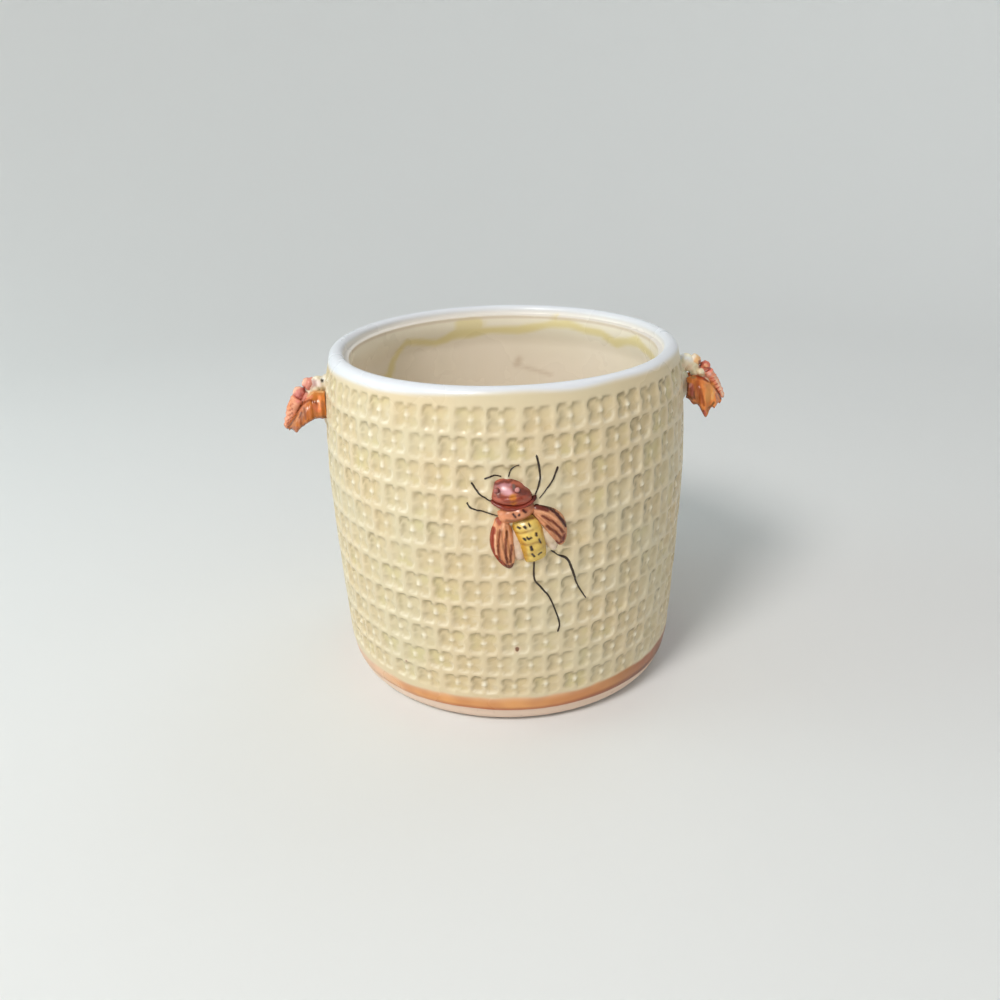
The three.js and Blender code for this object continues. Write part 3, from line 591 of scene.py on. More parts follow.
# The applied insect: leaf-shaped domes on the wall, after the plans of the CAD solids

def on_wall(across, up, rise):
    """Points at places across and up the wall, raised off its finished surface without the weave."""
    turn = across / BELLY_RADIUS
    radius = wall_radius(up) + wobble_of(turn, up) + rise
    return np.stack([radius * np.sin(turn), -radius * np.cos(turn), np.broadcast_to(up, radius.shape)], axis=-1)


def leaf_plan(leaf, t, q):
    """Places on a leaf-shaped plan: t runs root to tip, q from edge to edge."""
    root, tip = np.array(leaf["root"], float), np.array(leaf["tip"], float)
    length = np.linalg.norm(tip - root)
    along = (tip - root) / length
    widest = leaf["widest"]
    to_widest = np.where(t < widest, t / widest, (1 - t) / (1 - widest))
    end_width = np.where(t < widest, leaf["root_width"], leaf["tip_width"])
    width = end_width + (leaf["width"] - end_width) * np.sin(to_widest * math.pi / 2) ** 0.7
    offset = leaf["bow"] * np.sin(t * math.pi) + q * width / 2
    return root + t[..., None] * length * along + offset[..., None] * np.array([-along[1], along[0]])


def closed_grid(outer, inner):
    """Corners and faces of a solid between two grids of points that share their rim."""
    columns, rows = outer.shape[0], outer.shape[1]
    corners = np.concatenate([outer.reshape(-1, 3), inner.reshape(-1, 3)])
    far = columns * rows
    end = (columns - 1) * rows
    faces = []
    for i in range(columns - 1):
        for k in range(i * rows, i * rows + rows - 1):
            faces.append((k, k + rows, k + rows + 1, k + 1))
            faces.append((far + k, far + k + 1, far + k + rows + 1, far + k + rows))
        a, b = i * rows, (i + 1) * rows
        faces.append((a, far + a, far + b, b))
        faces.append((a + rows - 1, b + rows - 1, far + b + rows - 1, far + a + rows - 1))
    for j in range(rows - 1):
        faces.append((j, j + 1, far + j + 1, far + j))
        faces.append((end + j, far + end + j, far + end + j + 1, end + j + 1))
    quads = corners[np.array(faces)]
    volume = np.sum(np.cross(quads[:, 1] - quads[:, 0], quads[:, 2] - quads[:, 0]) * quads[:, 0])
    return corners, faces if volume > 0 else [face[::-1] for face in faces]


SINK = 0.9
LEAVES = {
    "insect_collar": dict(root=(-7.3, 4.1), tip=(3.8, 4.9), bow=-1.8, width=2.0, root_width=1.2, tip_width=1.6,
                          widest=0.35, height=2.1, slot="maroon_glaze"),
    "insect_head": dict(root=(-6.8, 6.9), tip=(2.6, 4.9), bow=0.3, width=6.7, root_width=4.4, tip_width=2.0,
                        widest=0.35, height=3.0, slot="maroon_glaze"),
    "insect_thorax": dict(root=(-5.4, -0.1), tip=(3.2, 2.8), bow=-0.1, width=4.8, root_width=3.0, tip_width=2.6,
                          widest=0.45, height=2.8, slot="orange_glaze"),
    "insect_left_wing_case": dict(root=(-4.9, 0.0), tip=(-3.1, -14.0), bow=-0.9, width=6.3, root_width=2.6,
                                  tip_width=1.5, widest=0.5, height=2.2, slot="orange_glaze"),
    "insect_right_wing_case": dict(root=(2.8, 2.4), tip=(10.4, -8.3), bow=1.6, width=5.8, root_width=2.6,
                                   tip_width=2.0, widest=0.55, height=2.2, slot="orange_glaze"),
    "insect_abdomen": dict(root=(0.4, -0.2), tip=(3.6, -12.0), bow=0.4, width=7.0, root_width=5.8, tip_width=5.4,
                           widest=0.25, height=3.0, slot="yellow_glaze"),
    "insect_left_underwing": dict(root=(-1.2, -3.6), tip=(-0.4, -12.0), bow=-0.2, width=3.4, root_width=1.8,
                                  tip_width=2.0, widest=0.6, height=0.7, slot="blush_glaze"),
    "insect_right_underwing": dict(root=(4.6, -3.6), tip=(8.7, -9.8), bow=0.3, width=3.4, root_width=1.8,
                                   tip_width=1.8, widest=0.6, height=0.8, slot="blush_glaze"),
}

# Strokes in millimetres across the front's middle and above the table, as seen from the photograph's side
PAINT = {
    "insect_collar": ((136, 54, 38), [
        ([(-8, 68.2), (-6.5, 67)], 1.2, (106, 40, 30), 0.8, 0.3),
        ([(1.4, 68.4), (2.6, 68.3)], 1.6, (70, 22, 18), 0.9, 0.3),
        ([(-4.5, 66.2), (-1, 66.9)], 0.5, (168, 84, 56), 0.6, 0.3)]),
    "insect_head": ((178, 94, 74), [
        ([(-6.2, 71.9), (-3.8, 71.8)], 1.0, (186, 134, 142), 0.8, 0.4),
        # painted highlight: a pale pink patch on the head's upper left
        ([(-5.2, 70.5), (-3.6, 69.9)], 1.8, (228, 172, 178), 0.9, 0.6),
        ([(-2.9, 68.6), (-2.8, 67.5)], 1.6, (220, 138, 46), 0.95, 0.45),
        ([(-5.6, 68.9), (-4.6, 68.3)], 0.9, (150, 56, 36), 0.7, 0.35),
        ([(-6, 68.7), (-4.8, 67.7), (-3, 67.4), (-1, 68.2)], 0.8, (140, 50, 24), 0.8, 0.3),
        ([(-2.3, 70.6), (-0.4, 70), (1.2, 69.4)], 2.0, (126, 54, 42), 0.9, 0.5),
        ([(-0.6, 72.2), (0.3, 71)], 1.0, (150, 84, 74), 0.8, 0.4),
        ([(-7.5, 72.3), (-7.1, 70.4), (-6.4, 69)], 0.9, (138, 74, 72), 0.8, 0.4),
        ([(-7.6, 72.4), (-6.4, 72.1), (-5, 72.9), (-3.9, 72.5), (-2.8, 73.3), (-1.7, 72.9)], 0.7,
         (112, 48, 44), 0.9, 0.25),
        ([(-2.7, 71.7), (-2.6, 70.7)], 0.7, (112, 98, 92), 0.9, 0.25),
        # painted highlight: a small pale glint low on the head's left
        ([(-6.4, 69.6)], 0.6, (246, 196, 184), 0.9, 0.2)]),
    "insect_thorax": ((214, 140, 100), [
        # painted highlight: the thorax lighter at its upper left
        ([(-4.4, 65.9), (-2.4, 66)], 1.3, (236, 170, 130), 0.8, 0.5),
        # painted shade: the thorax darker at its right
        ([(0, 66.4), (1.6, 66.2)], 1.8, (150, 82, 56), 0.8, 0.5),
        ([(-4.6, 62.6), (-2.6, 62.3), (1, 63.2)], 0.7, (146, 84, 42), 0.8, 0.3),
        ([(-2.9, 64.2), (-2.4, 63.5)], 0.65, (54, 16, 10), 1, 0.15),
        ([(-1.5, 64)], 0.75, (54, 16, 10), 1, 0.15),
        ([(-0.9, 65.4), (0.2, 65.0)], 1.0, (158, 72, 50), 0.8, 0.3),
        ([(-0.5, 65.2), (0.1, 64.6)], 0.65, (64, 18, 10), 1, 0.15),
        ([(0.9, 66.8)], 0.9, (60, 18, 12), 1, 0.15)]),
    "insect_left_wing_case": ((220, 150, 106), [
        ([(-6.8, 63.2), (-6.3, 62)], 1.3, (152, 62, 36), 0.9, 0.4),
        ([(-8.2, 60.4), (-8.7, 57), (-8.5, 54.5), (-7.4, 51.8), (-6, 50.4)], 1.9, (150, 54, 24), 1, 0.25),
        ([(-7.5, 58.8), (-7.6, 56), (-7.3, 53.5)], 0.4, (246, 190, 150), 0.9, 0.15),
        ([(-6.2, 60.2), (-6.6, 57), (-6.8, 54.5), (-6.5, 52.0)], 0.6, (120, 52, 22), 0.95, 0.18),
        ([(-4.5, 59.8), (-4.9, 57), (-5.0, 54.5), (-4.9, 52.8), (-4.6, 51.2)], 0.65, (114, 50, 22), 0.95, 0.18),
        ([(-3.5, 55.9), (-3.7, 53.5), (-3.9, 51.3)], 0.6, (118, 52, 22), 0.95, 0.18),
        ([(-3.1, 60.2), (-2.8, 57.5), (-2.9, 56)], 0.5, (128, 60, 28), 0.9, 0.18),
        ([(-5.0, 50.3), (-4.1, 49.7), (-3.2, 50.4)], 1.1, (104, 40, 22), 0.95, 0.25),
        # painted highlight on the left wing case's shoulder
        ([(-5.2, 62), (-5.8, 60.2)], 0.5, (250, 192, 154), 0.7, 0.25)]),
    "insect_right_wing_case": ((212, 146, 106), [
        ([(2.2, 66.2), (3.8, 65.6), (5.4, 65)], 1.6, (104, 38, 30), 0.95, 0.35),
        ([(2.0, 66.9), (4, 66.3), (5.8, 65.4), (7.6, 63.7), (9.0, 61.8), (10.2, 59.9)], 0.85, (66, 20, 12), 1, 0.2),
        ([(3.4, 64.6), (5.6, 63.6), (7.6, 61.8)], 0.5, (240, 178, 136), 0.7, 0.25),
        ([(4.2, 63.3), (6.4, 61.8), (8.4, 59.8), (9.5, 58.3)], 0.65, (112, 44, 22), 0.95, 0.18),
        ([(5.3, 60.5), (6.8, 59.2), (8.2, 57.8), (9.2, 56.6)], 0.8, (108, 42, 20), 0.95, 0.2),
        ([(9.7, 57.6), (9.4, 55.9), (8.4, 55.5), (7.7, 55.9)], 0.8, (116, 38, 20), 0.95, 0.2),
        ([(1.5, 64.6), (2.0, 63.4), (2.8, 62.3)], 0.7, (96, 40, 24), 0.9, 0.2)]),
    "insect_abdomen": ((226, 192, 98), [
        # painted highlight: a pale patch high on the abdomen
        ([(-0.8, 61.8), (0.8, 60.2)], 1.6, (244, 220, 150), 0.7, 0.7),
        # painted shade: the abdomen darker ochre at its left and lower side
        ([(-3.2, 61), (-3.0, 59.3), (-1.6, 58), (-0.6, 56)], 1.3, (214, 158, 52), 0.9, 0.5),
        ([(-0.6, 55), (-0.2, 52)], 1.5, (204, 150, 44), 0.9, 0.5),
        ([(-3.0, 59.4), (-0.8, 59.1), (1.8, 59.9)], 0.5, (176, 124, 44), 0.7, 0.3),
        ([(-1.6, 56.3), (0.6, 55.9), (3.0, 56.5)], 0.5, (182, 130, 48), 0.6, 0.3),
        # painted shade where the abdomen meets the thorax
        ([(-3, 62.8), (0, 62.9), (2.2, 63)], 0.8, (148, 94, 40), 0.8, 0.35),
        ([(-1.9, 60.8), (-1.4, 60.4)], 0.6, (44, 20, 10), 1, 0.13),
        ([(-0.3, 60.9), (0, 60.5)], 0.7, (44, 20, 10), 1, 0.13),
        ([(0.8, 61.6), (1.1, 60.9)], 0.55, (50, 24, 12), 1, 0.13),
        ([(-0.5, 57.8), (0, 57.2)], 0.5, (44, 20, 10), 1, 0.13),
        ([(0.3, 57.9), (0.8, 57.4), (1.3, 57.8)], 0.6, (44, 20, 10), 1, 0.13),
        ([(2.5, 58.9), (2.6, 58.3)], 0.6, (44, 20, 10), 1, 0.13),
        ([(3.3, 57.2), (3.7, 56.2)], 0.5, (44, 20, 10), 1, 0.13),
        ([(1.3, 55.3), (1.5, 54.5)], 0.8, (44, 20, 10), 1, 0.13),
        ([(1.5, 53.3), (2.1, 52.6)], 0.55, (44, 20, 10), 1, 0.13),
        ([(3.1, 53.0), (3.7, 53.5)], 0.6, (44, 20, 10), 1, 0.13)]),
    "insect_left_underwing": ((224, 196, 168), [([(-1.9, 54), (-1.6, 52.6)], 1.0, (236, 210, 190), 0.7, 0.4)]),
    "insect_right_underwing": ((220, 198, 168), [([(6.4, 55), (7.4, 54)], 1.0, (236, 214, 194), 0.7, 0.4)]),
}


def leaf_form(name, t, q, plan):
    """Extra height of one insect part: the modeller's tool marks, as a share of the dome."""
    if name == "insect_abdomen":
        return 0.87 + 0.13 * np.abs(np.sin(math.pi * (3.6 * t + 0.1 * q * q)))
    if name.endswith("wing_case"):
        return 0.92 + 0.10 * np.cos(math.pi * 5.0 * q) * smooth(0.05, 0.3, t) * smooth(1.0, 0.85, t)
    if name == "insect_head":
        across, up = plan[..., 0] + INSECT_ACROSS, plan[..., 1] + INSECT_UP
        brow = 0.14 * np.exp(-((across + 2.7) ** 2 + (up - 73.4) ** 2) / 1.2)
        cheek = 0.12 * np.exp(-((across + 1.6) ** 2 + (up - 72.4) ** 2) / 1.4)
        return 0.95 + brow + cheek - 0.12 * np.exp(-((up - 69.9 - 0.1 * across) ** 2) / 0.15)
    if name == "insect_thorax":
        return 0.94 + 0.08 * np.cos(3 * math.pi * t)
    return np.ones_like(t)


def leaf_piece(name, leaf, seed, material):
    size = np.linalg.norm(np.subtract(leaf["tip"], leaf["root"]))
    columns, rows = int(size / 0.2), int(leaf["width"] / 0.17) + 8
    t, v = np.meshgrid(np.linspace(0, 1, columns), np.linspace(0, 1, rows), indexing="ij")
    q = np.sin((v - 0.5) * math.pi)
    plan = leaf_plan(leaf, t, q)
    lengthwise = np.sin(math.pi * (0.03 + 0.94 * t)) ** 0.8
    dome = np.sqrt(np.maximum(0, 1 - q * q) * lengthwise) * leaf_form(name, t, q, plan)
    bumps = 0.06 * noise(plan[..., 0] * 1.1, plan[..., 1] * 1.1, seed + 7)
    rise = -SINK + (leaf["height"] + SINK + bumps) * dome
    across, up = plan[..., 0] + INSECT_ACROSS, plan[..., 1] + INSECT_UP
    corners, faces = closed_grid(on_wall(across, up, rise), on_wall(across, up, np.full_like(rise, -SINK - 0.3)))
    height = np.maximum(rise, 0)
    seen = np.stack([across + height * (across / BELLY_RADIUS + SEEN_ASIDE), up - height * SEEN_DOWN], axis=-1)
    base, strokes = PAINT[name]
    colours = paint(seen.reshape(-1, 2), base, strokes, seed)
    piece = add_mesh(name + "_relief", corners, faces, material, {"paint": np.concatenate([colours, colours])})
    place_piece(piece, name)


insect_glaze = painted_material("painted_insect_glaze", roughness=0.27)
for index, (leaf_name, leaf_spec) in enumerate(LEAVES.items()):
    leaf_piece(leaf_name, leaf_spec, 20 + 3 * index, insect_glaze)


# Eyes, feelers and legs

def lump(centre, radii, axes, seed, lumpiness, steps):
    """Corners and faces of an uneven ball, with axes given as three unit vectors, and its unit directions."""
    polar, turn = np.meshgrid(np.pi * np.arange(1, steps) / steps, np.pi * np.arange(2 * steps) / steps,
                              indexing="ij")
    around = np.stack([np.sin(polar) * np.cos(turn), np.sin(polar) * np.sin(turn), np.cos(polar)], axis=-1)
    unit = np.vstack([(0, 0, 1.0), around.reshape(-1, 3), (0, 0, -1.0)])
    uneven = 1 + lumpiness * noise(3 + 2.2 * unit[:, 0] + unit[:, 2], 5 + 2.2 * unit[:, 1] - unit[:, 2], seed)
    points = np.array(centre) + (unit * uneven[:, None] * np.array(radii)) @ np.array(axes, float)
    ring, faces = 2 * steps, []
    last = 1 + (steps - 2) * ring
    for j in range(ring):
        after = (j + 1) % ring
        faces += [(0, 1 + j, 1 + after), (len(unit) - 1, last + after, last + j)]
        faces += [(k + j, k + ring + j, k + ring + after, k + after) for k in range(1, last, ring)]
    return points, faces, unit


EYES = {"left": (-5.7, 7.9), "right": (-0.9, 7.9)}
EYE_RISE = 2.35
EYE_RADIUS = 0.75


def wall_axes(across):
    turn = across / BELLY_RADIUS
    return ((math.cos(turn), math.sin(turn), 0.0), (0.0, 0.0, 1.0), (math.sin(turn), -math.cos(turn), 0.0))


def blend_colours(first, second, part):
    part = np.asarray(part)[:, None]
    return np.array(linear(*first)) * (1 - part) + np.array(linear(*second)) * part


eye_glaze = painted_material("dark_eye_glaze", roughness=0.12)
for side, (across, up) in EYES.items():
    centre = on_wall(np.array(across + INSECT_ACROSS), np.array(up + INSECT_UP), EYE_RISE)
    points, faces, unit = lump(centre, (EYE_RADIUS,) * 3, wall_axes(across), 3, 0.08, 14)
    # painted highlight: each bead is lighter on its upper, outer side, the right bead brighter
    shine = smooth(0.2, 0.9, unit @ np.array([-0.4, 0.6, 0.7]))
    colours = blend_colours((104, 46, 44), (206, 142, 138) if side == "right" else (166, 94, 88), shine)
    place_piece(add_mesh(f"insect_{side}_eye_bead", points, faces, eye_glaze, {"paint": colours}),
                f"insect_{side}_eye")

# Each route runs root to tip, with widths at its root, middle and tip
TRAILS = {
    "left_feeler": ([(-4.6, 10.3), (-6.2, 10.6), (-7.4, 10.4), (-8.8, 9.9)], (0.36, 0.48, 0.5)),
    "right_feeler": ([(-2.9, 10.2), (-2.4, 11.7), (-1.6, 12.5), (-0.2, 13.3)], (0.34, 0.4, 0.28)),
    "front_left_leg": ([(-6.2, 3.6), (-8.5, 4.8), (-10.5, 6.5), (-12.2, 8.7)], (0.4, 0.48, 0.55)),
    "mid_left_leg": ([(-5.6, 0.3), (-8.5, 1.1), (-11, 1.9), (-12.5, 2.5), (-13.4, 3.5)], (0.3, 0.44, 0.72)),
    "front_right_leg": ([(3.4, 5.4), (4.3, 7.5), (4.8, 10), (4.6, 12.5), (4, 15.5)], (0.4, 0.55, 0.62)),
    "mid_right_leg": ([(4.4, 4.4), (6.2, 6.5), (7.5, 8), (8.4, 10), (9.3, 12.2)], (0.32, 0.46, 0.6)),
    "hind_left_leg": ([(3.1, -12.2), (3.1, -17.5), (5, -20.5), (7, -23.3), (9, -28.5), (9.8, -31.5), (9.3, -34.2)],
                      (0.6, 0.5, 0.55)),
    "hind_right_leg": ([(7.2, -9.7), (9.5, -11.7), (11.9, -13.3), (13.6, -18), (14.8, -21.2), (17.3, -25.7)],
                       (0.45, 0.75, 0.4)),
}


def trail_piece(name, route, widths, material, seed):
    """A thin trail of dark slip that bridges the hollows of the finished wall."""
    steps, sides = 90, 10
    t = np.linspace(0, 1, steps + 1)
    path = spline(route, t)
    across, up = path[:, 0] + INSECT_ACROSS, path[:, 1] + INSECT_UP
    turn = across / BELLY_RADIUS
    lift = weave(turn, up)[0]
    spread = np.convolve(np.pad(lift, 6, mode="edge"), np.ones(13) / 13, mode="valid")
    base = wall_radius(up) + wobble_of(turn, up) + np.maximum(lift, spread)
    run = np.gradient(path, axis=0)
    run /= np.linalg.norm(run, axis=1)[:, None]
    half = 0.4 * smooth_list(widths, t) * (smooth(0, 0.03, t) * smooth(1, 0.97, t) + 0.15)
    half *= 1 + 0.14 * noise(t * 14, np.zeros_like(t), seed)
    corners = []
    for k in range(sides):
        angle = 2 * math.pi * k / sides
        shift = half * math.cos(angle)
        x, y = across - run[:, 1] * shift, up + run[:, 0] * shift
        radius = base + 0.08 + 0.75 * half * math.sin(angle)
        corners.append(np.stack([radius * np.sin(x / BELLY_RADIUS), -radius * np.cos(x / BELLY_RADIUS), y], axis=1))
    corners = np.stack(corners, axis=1).reshape(-1, 3)
    shade = 0.5 + 0.5 * noise(t * 9, np.ones_like(t), seed + 1)
    colours = np.repeat(blend_colours((38, 25, 14), (60, 41, 26), shade), sides, axis=0)
    piece = add_mesh(f"insect_{name}_trail", corners, tube_faces(steps, sides), material, {"paint": colours})
    place_piece(piece, f"insect_{name}")


def tube_faces(steps, sides, flip=False):
    faces = [(i * sides + k, i * sides + (k + 1) % sides, (i + 1) * sides + (k + 1) % sides, (i + 1) * sides + k)
             for i in range(steps) for k in range(sides)]
    faces += [tuple(range(sides))[::-1], tuple(range(steps * sides, steps * sides + sides))]
    return [face[::-1] for face in faces] if flip else faces


slip = painted_material("dark_slip", roughness=0.3)
for index, (trail_name, (route, widths)) in enumerate(TRAILS.items()):
    trail_piece(trail_name, route, widths, slip, 60 + index)


# The ears: perched insects on cream lugs. Places are millimetres out, across and up from the lug's root

EARS = {
    "left": dict(
        sign=-1.0, height=POT_HEIGHT - 10.6,
        lug_spine=[(-2.5, 0, 0.5), (0, 0, 0.5), (2.2, 0, 0.3), (4.3, 0, -1.9), (6.4, 0, -4.6), (8.4, 0, -8)],
        lug_radii=[2.3, 2.3, 2.2, 1.6, 1.2, 0.8], head=(4.3, 0, 0.4), head_radius=2.0, back=(7.3, 0, -2.0),
        back_radius=1.85, body_spine=[(7.7, 0, -3.6), (9.4, 0, -6.6), (10.8, 0, -9.5), (12, 0, -12.3)],
        body_radii=[2.1, 2.0, 1.4, 1.0], wing_root=[(0.1, -1.3), (3.0, -1.4), (5.6, -3.4), (8.3, -6.9), (11.6, -11.2)],
        wing_spread=[4.6, 5.2, 5.2, 3.9, 0.6], wing_drop=[6, 5.9, 5.4, 4.1, 0.6], wing_slide=[-0.4, 0, 0.4, 0, -0.4],
        pad=1.1, lumps=(), seen=(0.138, 0.309), painted_light_gain=1.0, lug=(236, 226, 202), ball=(224, 146, 128), second=(218, 130, 118),
        ridge=(238, 160, 124), near=(202, 116, 46), far=(232, 150, 100)),
    "right": dict(
        sign=1.0, height=POT_HEIGHT - 9.1,
        lug_spine=[(-2.5, 0, -0.3), (0, 0, -0.3), (2.8, 0, -0.3), (5.3, 0, -2.1), (7.9, 0, -4.8), (10.3, 0, -8)],
        lug_radii=[2.6, 2.6, 2.3, 1.8, 1.3, 0.8], head=(5.1, 0, 0.3), head_radius=1.85, back=(8.4, 0, -1.5),
        back_radius=1.6, body_spine=[(9.1, 0, -3), (11.1, 0, -5.8), (12.8, 0, -8.6), (14.3, 0, -11.3)],
        body_radii=[1.5, 1.4, 1.1, 0.7],
        wing_root=[(2.6, -4.4), (4.6, -3.7), (7.6, -4.5), (10.6, -7.2), (13.3, -10.7)],
        wing_spread=[4.2, 5.4, 5.6, 4.4, 1.8], wing_drop=[4.1, 6.6, 9.6, 4.5, 0.8],
        wing_slide=[-0.8, 0.2, -0.2, -0.7, -0.6], pad=3.4, lumps=((6.4, -2.2, -2.55), (6.4, 2.2, -2.55)),
        # gain lightens the right ear's paint by 1.35 as painted light, for the light the pot's shade takes from it
        seen=(0.32, 0.30), painted_light_gain=1.35, lug=(240, 204, 176), ball=(230, 178, 134), second=(200, 112, 92), ridge=(234, 136, 104),
        near=(214, 124, 58), far=(190, 106, 52)),
}
WING_START = 1.5
WING_FOLDS = 3
FOLD_DEPTH = 0.45
WING_THICKNESS = 0.9
ROOT_PAD = dict(root=(0, -0.4), tip=(0, -12.0), bow=0.0, width=4.8, root_width=4.2, tip_width=1.8, widest=0.3)

